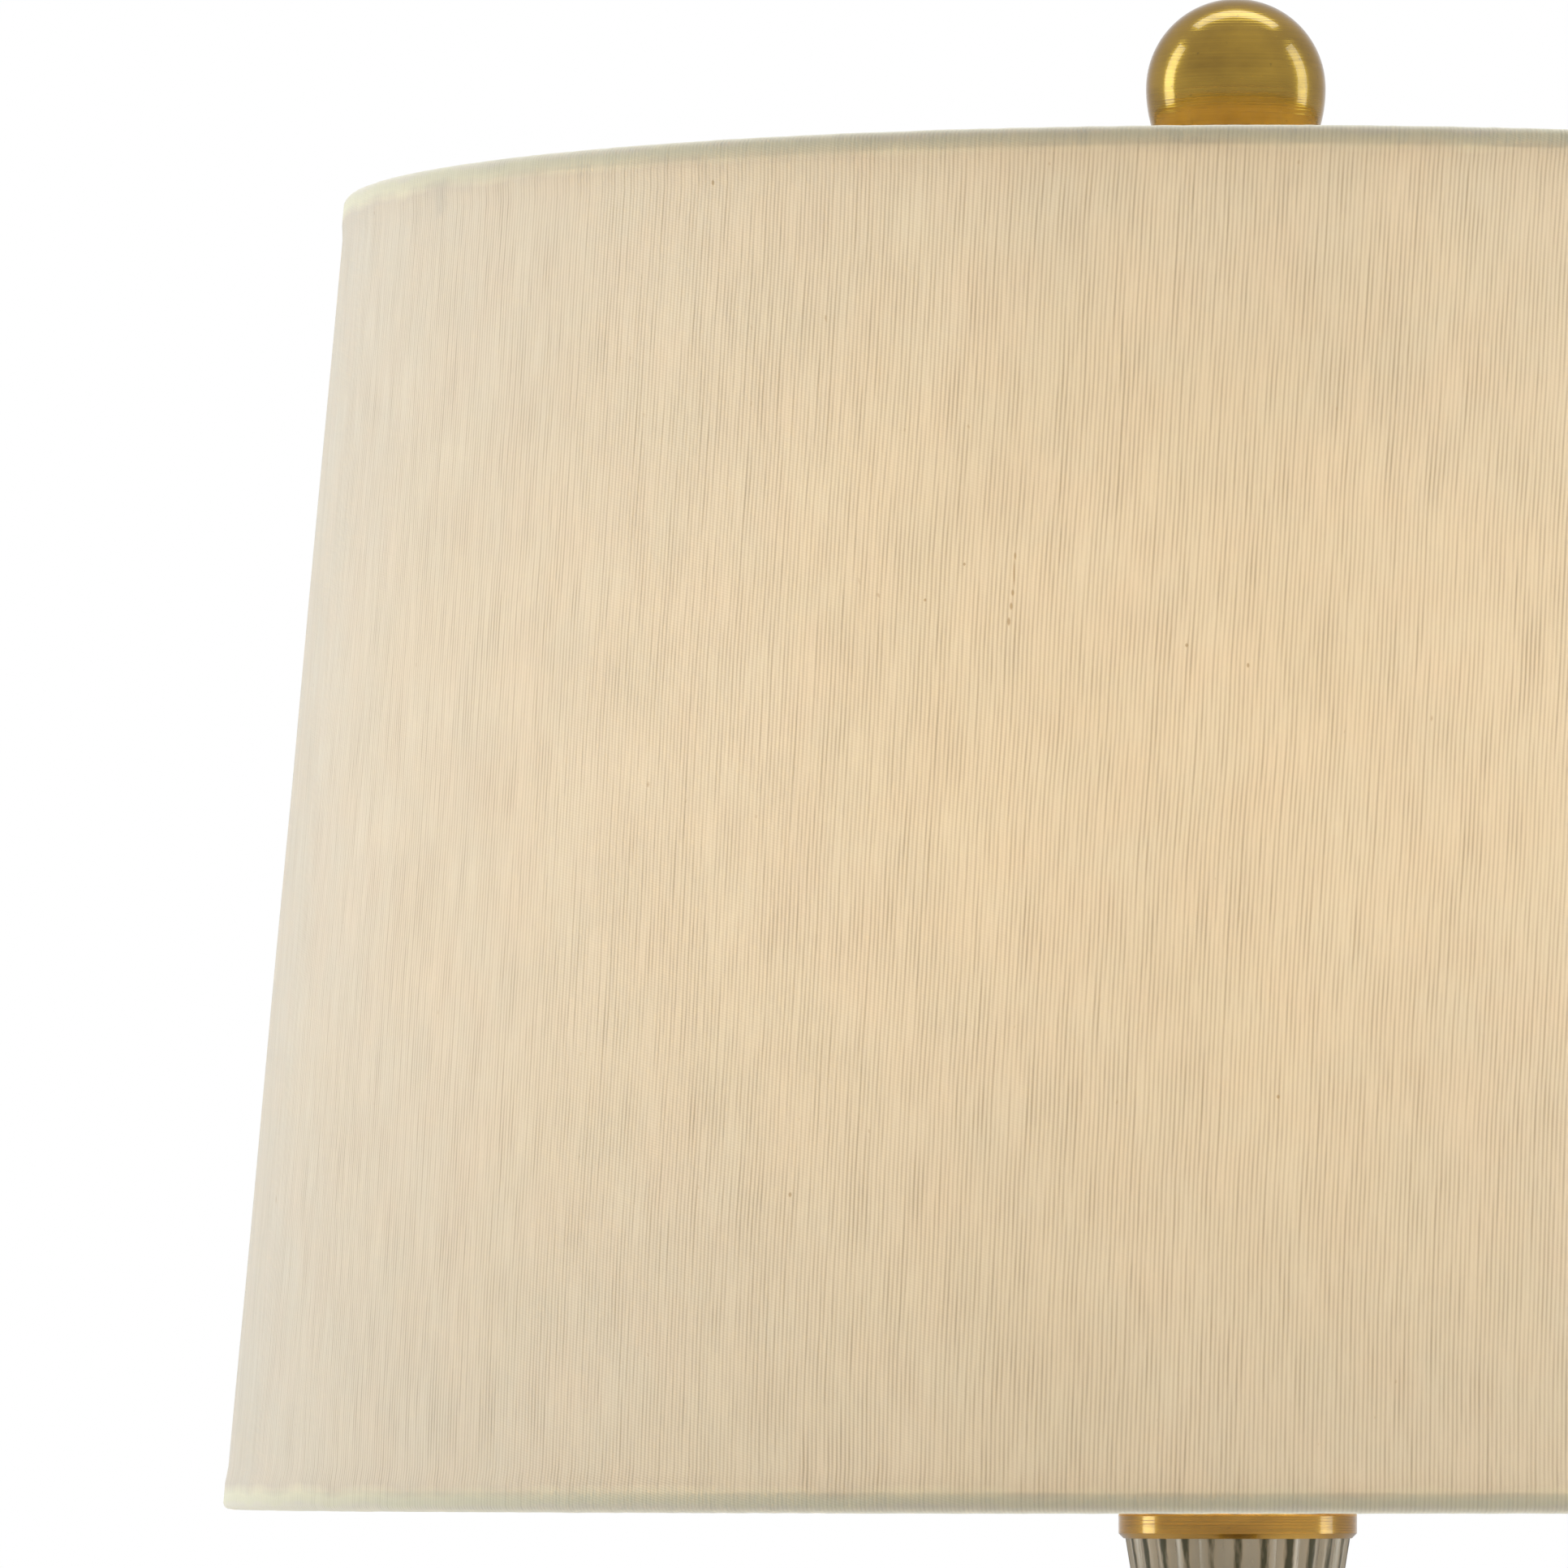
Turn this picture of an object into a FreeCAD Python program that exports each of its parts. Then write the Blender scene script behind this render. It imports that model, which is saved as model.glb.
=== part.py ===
"""A candlestick table lamp: a stepped brass foot, a reeded nickel column with brass knops,
a two-inch brass cap, and above it a socket, bulb, harp and tapered drum shade with a ball finial.

Every piece is turned or swept about the lamp's own axis, which stands on the origin.
Millimetres, Z up, X to the right of the lamp seen from its front, which faces -Y.
"""

import FreeCAD
import Part

import math
import os

# ---------------------------------------------------------------- sizes that can be set

# Clearances
SLIP = 0.2  # a bore round the pipe or a spigot that slides into it
TURN = 0.1  # between pieces that turn or slide on each other
LAP = 0.1  # glue line between the layers of the shade

# Lamp pipe, the threaded tube that holds the stack together
PIPE_RADIUS = 4.8
PIPE_BORE = 3.2
PIPE_FOOT_CLEAR = 6.0  # room under the pipe for a cord to turn out to the side

# Felt pad and brass foot
FELT_RADIUS = 74.0
FELT_THICKNESS = 2.0
FOOT_RADIUS = 76.2
FOOT_BAND_HEIGHT = 10.0
FOOT_BAND_WALL = 3.6
FOOT_BAND_ROUND = 1.2
FOOT_STEP = 3.2
COVE_HEIGHT = 8.0
COVE_DEPTH = 2.2  # how far the cove cuts in past a straight slope
FOOT_TOP_RADIUS = 61.5
FOOT_TOP_HEIGHT = 4.0
FOOT_TOP_ROUND = 1.5
FOOT_PLATE = 3.0
FOOT_WALL = 3.5
FOOT_BOSS = 1.5  # how far the plate stands up inside the bell

# Iron weight, and the nut and washer in its counterbore
WEIGHT_HEIGHT = 12.0
COUNTERBORE_RADIUS = 15.0
COUNTERBORE_DEPTH = 5.5
WASHER_RADIUS = 13.0
WASHER_THICKNESS = 1.5
NUT_ACROSS = 15.0
NUT_HEIGHT = 4.0

# Cord bushing in the back of the foot
BUSHING_RADIUS = 3.6
BUSHING_BORE = 2.7
BUSHING_FLANGE_RADIUS = 4.6
BUSHING_FLANGE = 1.3
BUSHING_TAIL = 2.0  # how far it reaches in past the foot's wall

# Reeded nickel pieces: how many reeds go round, and how deep their grooves are
REED_COUNT = 26
REED_DEPTH = 0.028  # share of the radius
BELL_STEPS = 7  # sections that each reeded piece is drawn through
SHAFT_STEPS = 4
CUP_STEPS = 6
REED_WALL = 2.6
BELL_WALL = 5.0  # across, so that the wall is still thick where the bell flares
BELL_RADIUS = 56.0
BELL_NECK_RADIUS = 13.5
BELL_HEIGHT = 74.0
BELL_FLARE = (40.0, 12.0)  # out from the axis and up: where the curve leaves the rim for
BELL_THROAT = (10.0, 20.0)  # the same for the point it bends round to reach its neck
SHAFT_FOOT_RADIUS = 16.5
SHAFT_TOP_RADIUS = 12.0
SHAFT_HEIGHT = 220.0
SHAFT_SWELL = 0.7
CUP_FOOT_RADIUS = 12.0
CUP_RADIUS = 24.0
CUP_HEIGHT = 55.6
CUP_RIM_SLOPE = 0.161
CUP_FLARE = (15.5, 9.0)  # as the bell's: out from the axis, and up

# Brass collars and ball knops
SPIGOT_HEIGHT = 3.0
COLLAR_ROUND = 0.8
BELL_COLLAR_RADIUS = 18.0
BELL_COLLAR_HEIGHT = 6.0
LOWER_KNOP_RADIUS = 19.0
LOWER_KNOP_HEIGHT = 34.0
SHAFT_COLLAR_RADIUS = 20.0
SHAFT_COLLAR_HEIGHT = 6.0
NECK_COLLAR_RADIUS = 15.0
NECK_COLLAR_HEIGHT = 5.0
UPPER_KNOP_RADIUS = 13.0
UPPER_KNOP_HEIGHT = 22.0
CUP_COLLAR_RADIUS = 15.0
CUP_COLLAR_HEIGHT = 5.0

# Two-inch cap over the candle cup
CAP_RADIUS = 25.4
CAP_LIP_RADIUS = 24.3
CAP_LIP_HEIGHT = 1.1
CAP_BAND_HEIGHT = 4.3
CAP_ROUND = 0.6

# Neck and its locknut
NECK_RADIUS = 6.35
NECK_HEIGHT = 21.4
LOCKNUT_HEIGHT = 4.0

# Harp saddle, harp and its two locking sleeves
SADDLE_THICKNESS = 1.6
SADDLE_WIDTH = 13.0
HARP_FOOT_SPREAD = 31.75  # from the axis to a harp foot
PRONG_HEIGHT = 12.0
PRONG_WALL = 1.1
PRONG_GAP = 0.3
PRONG_OPENING = 150.0  # degrees of the channel left open
HARP_WIRE_RADIUS = 1.8
HARP_HEIGHT = 239.0  # saddle to the underside of the spider's hub
HARP_LEG_STRAIGHT = 30.0
HARP_SPLAY = 25.0  # degrees that the legs lean out above the straight
HARP_SPLAY_BEND = 40.0
HARP_TOP_BEND = 15.0
HARP_TOP_FLAT = 6.0
EYE_RADIUS = 8.0
EYE_THICKNESS = 3.6
SLEEVE_WALL = 0.8
SLEEVE_HEIGHT = 14.0
SLEEVE_ROUND = 0.3

# Threaded stud that turns in the harp's eye
STUD_RADIUS = 3.1
STUD_HEIGHT = 13.5
STUD_PITCH = 0.94
STUD_THREAD_DEPTH = 0.35
STUD_FLANGE_RADIUS = 9.5
STUD_FLANGE = 2.0
STUD_SHANK_RADIUS = 2.5
STUD_RIVET_RADIUS = 4.0
STUD_RIVET = 1.4

# Socket: brass cap and shell, card liner, moulded core, screw shell and contact
SOCKET_HUB_RADIUS = 7.5
SOCKET_HUB_HEIGHT = 3.0
SOCKET_CAP_RADIUS = 16.6
SOCKET_CAP_HEIGHT = 19.0
SOCKET_CAP_BULGE = (14.6, 4.0)  # out from the axis, and up from the hub
SOCKET_WALL = 0.6
SHELL_RADIUS = 15.7
SHELL_HEIGHT = 46.0
SHELL_LAP = 4.0  # how far the shell goes down into the cap
SHELL_BEAD = 0.9
SHELL_LIP = 2.8  # turned in at its foot, under the core
LINER_THICKNESS = 0.7
CORE_RADIUS = 13.9
CORE_HEIGHT = 20.0
PIPE_IN_SOCKET = 7.0
SET_SCREW_RADIUS = 1.2
SET_SCREW_HEAD_RADIUS = 1.4
SET_SCREW_HEAD = 1.2
SCREW_SHELL_RADIUS = 13.4  # inside
SCREW_SHELL_WALL = 0.4
SCREW_SHELL_HEIGHT = 23.0
SCREW_SHELL_FLOOR = 0.6
SCREW_SHELL_HOLE = 6.0
CONTACT_RADIUS = 4.2
CONTACT_HEIGHT = 1.3
TERMINAL_FLAT = 11.4  # from the axis to the core's flats
TERMINAL_HEAD_RADIUS = 2.6
TERMINAL_HEAD = 1.6
TERMINAL_SHANK_RADIUS = 1.4
TERMINAL_SHANK = 4.0
TERMINAL_DROP = 11.0  # below the core's top

# Turn knob of the switch
KNOB_RADIUS = 6.2
KNOB_LENGTH = 14.0
KNOB_RIBS = 12
KNOB_RIB_DEPTH = 0.7
KNOB_FLUTE_RADIUS = 1.1
KNOB_ROUND = 0.8
KNOB_STANDOFF = 12.0  # from the socket shell to the knob
STEM_RADIUS = 2.2
STEM_DEPTH = 6.0  # how far the stem goes into the core
STEM_IN_KNOB = 6.0
STEM_HOLE_RADIUS = 4.2
SWITCH_RISE = 9.0  # above the core's underside

# Bulb
BULB_CONTACT_RADIUS = 4.4
BULB_CONTACT = 1.2
BULB_INSULATOR_HEIGHT = 3.4
BULB_CAP_RADIUS = 13.0
BULB_CAP_HEIGHT = 22.0
BULB_CAP_WALL = 0.4
BULB_CAP_PLAIN = 5.5  # its top, without threads
BULB_THREADS = 5
BULB_THREAD_DEPTH = 0.6
BULB_NECK_IN_CAP = 8.0
BULB_RADIUS = 30.0
BULB_HEIGHT = 78.0  # glass above the cap
BULB_WAIST = (18.5, 21.0)  # out from the axis, and up from the cap
BULB_ROUND_FROM = -28.0  # degrees from level where the waist meets the round of the glass
GLASS_WALL = 1.0

# Shade: outside radii over its folded hems, layers, hems, rings and spider
SHADE_TOP_RADIUS = 190.5
SHADE_BOTTOM_RADIUS = 215.9
SHADE_HEIGHT = 278.2
SPIDER_DROP = 13.4  # from the shade's top edge down to the underside of the spider's hub
HEM_CLOTH = 0.4
HEM_HEIGHT = 5.0
HEM_ROUND = 0.35
FABRIC_THICKNESS = 0.6
BACKING_THICKNESS = 0.5
RING_RADIUS = 1.4
RING_GAP = 0.15
SPIDER_RADIUS = 1.2
SPIDER_BEND = 5.0
SPIDER_ARMS = 3
HUB_RADIUS = 12.0
HUB_THICKNESS = 1.5

# Ball finial
FINIAL_RADIUS = 19.2
FINIAL_LOWER = 24.0  # the ball's half height below its middle
FINIAL_SEAT_RADIUS = 7.6
FINIAL_WAIST_RADIUS = 6.0
FINIAL_FOOT_RADIUS = 8.4
FINIAL_FOOT_HEIGHT = 3.0
FINIAL_WAIST_HEIGHT = 11.36  # from the foot's flange to the flat under the ball
FINIAL_SPIGOT_RADIUS = 3.0
FINIAL_SPIGOT_HEIGHT = 5.0
FINIAL_BORE_SPARE = 1.5

# ------------------------------------------------- heights, from the table to the finial

FOOT_Z = FELT_THICKNESS
BAND_TOP_Z = FOOT_Z + FOOT_BAND_HEIGHT
COVE_TOP_Z = BAND_TOP_Z + COVE_HEIGHT
BELL_Z = COVE_TOP_Z + FOOT_TOP_HEIGHT
PLATE_Z = BELL_Z - FOOT_PLATE
WEIGHT_Z = PLATE_Z - WEIGHT_HEIGHT
WASHER_Z = WEIGHT_Z + COUNTERBORE_DEPTH - WASHER_THICKNESS
NUT_Z = WASHER_Z - NUT_HEIGHT
PIPE_Z = FELT_THICKNESS + PIPE_FOOT_CLEAR
BUSHING_Z = FOOT_Z + FOOT_BAND_HEIGHT / 2
BELL_COLLAR_Z = BELL_Z + BELL_HEIGHT
LOWER_KNOP_Z = BELL_COLLAR_Z + BELL_COLLAR_HEIGHT
SHAFT_COLLAR_Z = LOWER_KNOP_Z + LOWER_KNOP_HEIGHT
SHAFT_Z = SHAFT_COLLAR_Z + SHAFT_COLLAR_HEIGHT
NECK_COLLAR_Z = SHAFT_Z + SHAFT_HEIGHT
UPPER_KNOP_Z = NECK_COLLAR_Z + NECK_COLLAR_HEIGHT
CUP_COLLAR_Z = UPPER_KNOP_Z + UPPER_KNOP_HEIGHT
CUP_Z = CUP_COLLAR_Z + CUP_COLLAR_HEIGHT
CAP_Z = CUP_Z + CUP_HEIGHT
CAP_TOP_Z = CAP_Z + CAP_LIP_HEIGHT + CAP_BAND_HEIGHT
LOCKNUT_Z = CAP_TOP_Z + NECK_HEIGHT
SADDLE_Z = LOCKNUT_Z + LOCKNUT_HEIGHT
SADDLE_TOP_Z = SADDLE_Z + SADDLE_THICKNESS
SOCKET_CAP_TOP_Z = SADDLE_TOP_Z + SOCKET_CAP_HEIGHT
PIPE_TOP_Z = SADDLE_TOP_Z + PIPE_IN_SOCKET
SHELL_Z = SOCKET_CAP_TOP_Z - SHELL_LAP
SHELL_TOP_Z = SHELL_Z + SHELL_HEIGHT
CORE_Z = SHELL_Z + SOCKET_WALL
CORE_TOP_Z = CORE_Z + CORE_HEIGHT
SWITCH_Z = CORE_Z + SWITCH_RISE
CONTACT_TOP_Z = CORE_TOP_Z + CONTACT_HEIGHT
BULB_Z = CONTACT_TOP_Z + TURN
INSULATOR_Z = BULB_Z + BULB_CONTACT
BULB_CAP_Z = INSULATOR_Z + BULB_INSULATOR_HEIGHT
GLASS_Z = BULB_CAP_Z + BULB_CAP_HEIGHT
HUB_Z = SADDLE_TOP_Z + HARP_HEIGHT
SHADE_TOP_Z = HUB_Z + SPIDER_DROP
SHADE_Z = SHADE_TOP_Z - SHADE_HEIGHT
FLANGE_Z = HUB_Z - TURN - STUD_FLANGE
EYE_Z = FLANGE_Z - TURN - EYE_THICKNESS
STUD_TOP_Z = HUB_Z + STUD_HEIGHT
FINIAL_Z = HUB_Z + HUB_THICKNESS + TURN
FINIAL_WAIST_Z = FINIAL_Z + FINIAL_FOOT_HEIGHT
FINIAL_SEAT_Z = FINIAL_WAIST_Z + FINIAL_WAIST_HEIGHT

# ------------------------------------------------------- bores that follow other pieces

PIPE_HOLE = PIPE_RADIUS + SLIP
SHELL_INSIDE = SHELL_RADIUS - SOCKET_WALL
PRONG_INSIDE = HARP_WIRE_RADIUS + PRONG_GAP
PRONG_RADIUS = PRONG_INSIDE + PRONG_WALL
SLEEVE_INSIDE = PRONG_RADIUS + PRONG_GAP
FOOT_CAVITY_RADIUS = FOOT_TOP_RADIUS - FOOT_WALL
BULB_CAP_INSIDE = BULB_CAP_RADIUS - 3 * BULB_THREAD_DEPTH / 2 - BULB_CAP_WALL
FINIAL_DROP = FINIAL_LOWER * math.sqrt(1 - (FINIAL_SEAT_RADIUS / FINIAL_RADIUS) ** 2)

# ---------------------------------------------------------------------------- drawing

SAME_POINT = 1e-7  # points closer than this are one


def via(r, z):
    """A point that an arc passes through, between the two corners beside it."""
    return ("via", r, z)


def flat_point(r, z):
    """A point of an outline, in the half plane to the right of the axis."""
    return FreeCAD.Vector(r, 0, z)


def round_corner(before, corner, after):
    """Where a corner's rounding starts, its middle and where it ends, as three points."""
    r, z, radius = corner
    here = flat_point(r, z)
    back = (flat_point(before[0], before[1]) - here).normalize()
    ahead = (flat_point(after[0], after[1]) - here).normalize()
    half = back.getAngle(ahead) / 2
    setback = radius / math.tan(half)
    inward = (back + ahead).normalize()
    middle = here + inward * (radius / math.sin(half) - radius)
    return here + back * setback, middle, here + ahead * setback


def outline(corners):
    """A closed outline through (r, z) corners. (r, z, radius) rounds one, via() bends a side."""
    solid = [c for c in corners if c[0] != "via"]
    place = {id(c): i for i, c in enumerate(solid)}
    ends = {}
    for c in solid:
        i = place[id(c)]
        if len(c) == 3:
            ends[i] = round_corner(solid[i - 1], c, solid[(i + 1) % len(solid)])
        else:
            ends[i] = (flat_point(*c),) * 3
    edges = []
    for k, c in enumerate(corners):
        if c[0] == "via":
            continue
        i = place[id(c)]
        start, middle, end = ends[i]
        if start.distanceToPoint(end) > SAME_POINT:
            edges.append(Part.Arc(start, middle, end).toShape())
        following = corners[(k + 1) % len(corners)]
        target = ends[(i + 1) % len(solid)][0]
        if following[0] == "via":
            bend = flat_point(following[1], following[2])
            edges.append(Part.Arc(end, bend, target).toShape())
        elif end.distanceToPoint(target) > SAME_POINT:
            edges.append(Part.LineSegment(end, target).toShape())
    return Part.Wire(edges)


def turned(*corners):
    """A solid turned about the lamp's axis."""
    face = Part.Face(outline(corners))
    return face.revolve(FreeCAD.Vector(0, 0, 0), FreeCAD.Vector(0, 0, 1), 360)


def rod(radius, length, base, direction=(0, 0, 1)):
    """A plain cylinder from base along direction."""
    return Part.makeCylinder(radius, length, FreeCAD.Vector(*base), FreeCAD.Vector(*direction))


def tube(outer, inner, low, high):
    """A plain tube about the lamp's axis."""
    return turned((inner, low), (outer, low), (outer, high), (inner, high))


def hexagon(across, height, low, bore):
    """A hexagonal nut about the lamp's axis, with its top and bottom corners taken off."""
    corner = across / 2 / math.cos(math.pi / 6)
    points = [
        FreeCAD.Vector(corner * math.cos(a), corner * math.sin(a), low)
        for a in (math.radians(60 * i) for i in range(7))
    ]
    prism = Part.Face(Part.makePolygon(points)).extrude(FreeCAD.Vector(0, 0, height))
    ease = (corner - across / 2) / 2
    barrel = turned(
        (bore, low),
        (corner - ease, low),
        (corner, low + ease),
        (corner, low + height - ease),
        (corner - ease, low + height),
        (bore, low + height),
    )
    return prism.common(barrel)


def bezier(p0, p1, p2, p3, steps):
    """Points (r, z) along a cubic curve, from p0 to p3."""
    points = []
    for i in range(steps + 1):
        t = i / steps
        weights = ((1 - t) ** 3, 3 * t * (1 - t) ** 2, 3 * t * t * (1 - t), t**3)
        points.append(
            tuple(sum(w * p[k] for w, p in zip(weights, (p0, p1, p2, p3))) for k in (0, 1))
        )
    return points


def reed_ring(radius, z):
    """One closed ring of shallow outward arcs, a crest facing the lamp's front."""
    step = 2 * math.pi / REED_COUNT
    groove = radius * (1 - REED_DEPTH)

    def at(r, angle):
        return FreeCAD.Vector(r * math.cos(angle), r * math.sin(angle), z)

    arcs = []
    for i in range(REED_COUNT):
        crest = -math.pi / 2 + i * step
        arcs.append(
            Part.Arc(
                at(groove, crest - step / 2), at(radius, crest), at(groove, crest + step / 2)
            ).toShape()
        )
    return Part.Wire(arcs)


def reeded(stations, wall):
    """A hollow reeded piece whose crests run through (radius, z) stations, low to high."""
    skin = Part.makeLoft([reed_ring(r, z) for r, z in stations], True, False)
    inside = [(r * (1 - REED_DEPTH) - wall, z) for r, z in stations]
    bottom, top = inside[0], inside[-1]
    hollow = turned((0, bottom[1]), *inside, (0, top[1]))
    return skin.cut(hollow)


def bore_at(stations, wall, z):
    """The inside radius of a reeded piece at a height."""
    for (r0, z0), (r1, z1) in zip(stations, stations[1:]):
        if z <= z1:
            break
    radius = r0 + (r1 - r0) * (z - z0) / (z1 - z0)
    return radius * (1 - REED_DEPTH) - wall


def collar(low, height, radius, lower_spigot, upper_spigot):
    """A brass collar: a band with eased edges, and a spigot into the piece at each side."""
    corners = [(PIPE_HOLE, low)]
    if lower_spigot:
        corners = [
            (PIPE_HOLE, low - SPIGOT_HEIGHT),
            (lower_spigot, low - SPIGOT_HEIGHT),
            (lower_spigot, low),
        ]
    corners += [(radius, low, COLLAR_ROUND), (radius, low + height, COLLAR_ROUND)]
    if upper_spigot:
        corners += [
            (upper_spigot, low + height),
            (upper_spigot, low + height + SPIGOT_HEIGHT),
            (PIPE_HOLE, low + height + SPIGOT_HEIGHT),
        ]
    else:
        corners.append((PIPE_HOLE, low + height))
    return turned(*corners)


def knop(low, height, radius):
    """A brass ball with its poles cut flat, bored for the pipe."""
    end = math.sqrt(radius**2 - (height / 2) ** 2)
    return turned(
        (PIPE_HOLE, low),
        (end, low),
        via(radius, low + height / 2),
        (end, low + height),
        (PIPE_HOLE, low + height),
    )


# ------------------------------------------------------------------ column and its foot

BELL_STATIONS = bezier(
    (BELL_RADIUS, BELL_Z),
    (BELL_FLARE[0], BELL_Z + BELL_FLARE[1]),
    (BELL_THROAT[0], BELL_Z + BELL_THROAT[1]),
    (BELL_NECK_RADIUS, BELL_COLLAR_Z),
    BELL_STEPS,
)
SHAFT_STATIONS = bezier(
    (SHAFT_FOOT_RADIUS, SHAFT_Z),
    (SHAFT_FOOT_RADIUS + SHAFT_SWELL, SHAFT_Z + SHAFT_HEIGHT / 3),
    (SHAFT_TOP_RADIUS + SHAFT_SWELL, SHAFT_Z + 2 * SHAFT_HEIGHT / 3),
    (SHAFT_TOP_RADIUS, NECK_COLLAR_Z),
    SHAFT_STEPS,
)
CUP_STATIONS = bezier(
    (CUP_FOOT_RADIUS, CUP_Z),
    (CUP_FLARE[0], CUP_Z + CUP_FLARE[1]),
    (CUP_RADIUS - CUP_RIM_SLOPE * CUP_HEIGHT / 2, CAP_Z - CUP_HEIGHT / 2),
    (CUP_RADIUS, CAP_Z),
    CUP_STEPS,
)


def felt_pad():
    return turned(
        (0, 0), (FELT_RADIUS, 0), (FELT_RADIUS, FELT_THICKNESS), (0, FELT_THICKNESS)
    )


def brass_foot():
    """Stepped foot: a band, a step, a cove and a top band, hollow under its plate."""
    step_radius = FOOT_RADIUS - FOOT_STEP
    cove_r = (step_radius + FOOT_TOP_RADIUS) / 2 - COVE_DEPTH / 2
    cove_z = (BAND_TOP_Z + COVE_TOP_Z) / 2 - COVE_DEPTH / 2
    band_ceiling = BAND_TOP_Z - FOOT_BAND_WALL
    boss_top = BELL_Z + FOOT_BOSS
    body = turned(
        (PIPE_HOLE, PLATE_Z),
        (FOOT_CAVITY_RADIUS, PLATE_Z),
        (FOOT_CAVITY_RADIUS, band_ceiling),
        (FOOT_RADIUS - FOOT_BAND_WALL, band_ceiling),
        (FOOT_RADIUS - FOOT_BAND_WALL, FOOT_Z),
        (FOOT_RADIUS, FOOT_Z, FOOT_BAND_ROUND),
        (FOOT_RADIUS, BAND_TOP_Z, FOOT_BAND_ROUND),
        (step_radius, BAND_TOP_Z),
        via(cove_r, cove_z),
        (FOOT_TOP_RADIUS, COVE_TOP_Z),
        (FOOT_TOP_RADIUS, BELL_Z, FOOT_TOP_ROUND),
        (bore_at(BELL_STATIONS, BELL_WALL, BELL_Z) - SLIP, BELL_Z),
        (bore_at(BELL_STATIONS, BELL_WALL, boss_top) - SLIP, boss_top),
        (PIPE_HOLE, boss_top),
    )
    return body.cut(rod(BUSHING_RADIUS + SLIP, FOOT_RADIUS, (0, 0, BUSHING_Z), (0, 1, 0)))


def iron_weight():
    return turned(
        (PIPE_HOLE, WEIGHT_Z + COUNTERBORE_DEPTH),
        (COUNTERBORE_RADIUS, WEIGHT_Z + COUNTERBORE_DEPTH),
        (COUNTERBORE_RADIUS, WEIGHT_Z),
        (FOOT_CAVITY_RADIUS - SLIP, WEIGHT_Z),
        (FOOT_CAVITY_RADIUS - SLIP, PLATE_Z),
        (PIPE_HOLE, PLATE_Z),
    )


def cord_bushing():
    """Flanged sleeve in the back of the foot, where a cord comes out."""
    inner = FOOT_RADIUS - FOOT_BAND_WALL - BUSHING_TAIL
    body = rod(BUSHING_RADIUS, FOOT_RADIUS - inner, (0, inner, BUSHING_Z), (0, 1, 0))
    flange = rod(
        BUSHING_FLANGE_RADIUS, BUSHING_FLANGE, (0, FOOT_RADIUS, BUSHING_Z), (0, 1, 0)
    )
    bore = rod(BUSHING_BORE, FOOT_RADIUS, (0, inner, BUSHING_Z), (0, 1, 0))
    return body.fuse(flange).cut(bore).removeSplitter()


def neck():
    return tube(NECK_RADIUS, PIPE_HOLE, CAP_TOP_Z, LOCKNUT_Z)


def cap():
    """The two-inch cap: an upright band over an inward lip, seated on the cup's rim."""
    spigot_z = CAP_Z - SPIGOT_HEIGHT
    return turned(
        (PIPE_HOLE, spigot_z),
        (bore_at(CUP_STATIONS, REED_WALL, spigot_z) - SLIP, spigot_z),
        (bore_at(CUP_STATIONS, REED_WALL, CAP_Z) - SLIP, CAP_Z),
        (CAP_LIP_RADIUS, CAP_Z),
        (CAP_RADIUS, CAP_Z + CAP_LIP_HEIGHT),
        (CAP_RADIUS, CAP_TOP_Z, CAP_ROUND),
        (PIPE_HOLE, CAP_TOP_Z),
    )


def column_pieces():
    """The stack on the pipe, from the felt to the locknut under the saddle."""
    bell_top = bore_at(BELL_STATIONS, BELL_WALL, BELL_COLLAR_Z) - SLIP
    shaft_foot = bore_at(SHAFT_STATIONS, REED_WALL, SHAFT_Z) - SLIP
    shaft_top = bore_at(SHAFT_STATIONS, REED_WALL, NECK_COLLAR_Z) - SLIP
    cup_foot = bore_at(CUP_STATIONS, REED_WALL, CUP_Z) - SLIP
    return {
        "felt_pad": felt_pad(),
        "brass_foot": brass_foot(),
        "iron_weight": iron_weight(),
        "base_washer": tube(
            WASHER_RADIUS, PIPE_HOLE, WASHER_Z, WASHER_Z + WASHER_THICKNESS
        ),
        "base_nut": hexagon(NUT_ACROSS, NUT_HEIGHT, NUT_Z, PIPE_HOLE),
        "cord_bushing": cord_bushing(),
        "lamp_pipe": tube(PIPE_RADIUS, PIPE_BORE, PIPE_Z, PIPE_TOP_Z),
        "reeded_bell": reeded(BELL_STATIONS, BELL_WALL),
        "bell_collar": collar(
            BELL_COLLAR_Z, BELL_COLLAR_HEIGHT, BELL_COLLAR_RADIUS, bell_top, 0
        ),
        "lower_knop": knop(LOWER_KNOP_Z, LOWER_KNOP_HEIGHT, LOWER_KNOP_RADIUS),
        "shaft_collar": collar(
            SHAFT_COLLAR_Z, SHAFT_COLLAR_HEIGHT, SHAFT_COLLAR_RADIUS, 0, shaft_foot
        ),
        "reeded_shaft": reeded(SHAFT_STATIONS, REED_WALL),
        "neck_collar": collar(
            NECK_COLLAR_Z, NECK_COLLAR_HEIGHT, NECK_COLLAR_RADIUS, shaft_top, 0
        ),
        "upper_knop": knop(UPPER_KNOP_Z, UPPER_KNOP_HEIGHT, UPPER_KNOP_RADIUS),
        "cup_collar": collar(
            CUP_COLLAR_Z, CUP_COLLAR_HEIGHT, CUP_COLLAR_RADIUS, 0, cup_foot
        ),
        "reeded_cup": reeded(CUP_STATIONS, REED_WALL),
        "column_cap": cap(),
        "neck_sleeve": neck(),
        "neck_locknut": hexagon(NUT_ACROSS, LOCKNUT_HEIGHT, LOCKNUT_Z, PIPE_HOLE),
    }


# ------------------------------------------------------------------------------- socket


def across_hub(radius, start, length):
    """A cylinder towards the back through the middle of the socket cap's hub."""
    middle = SADDLE_TOP_Z + SOCKET_HUB_HEIGHT / 2
    return rod(radius, length, (0, start, middle), (0, 1, 0))


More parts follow.
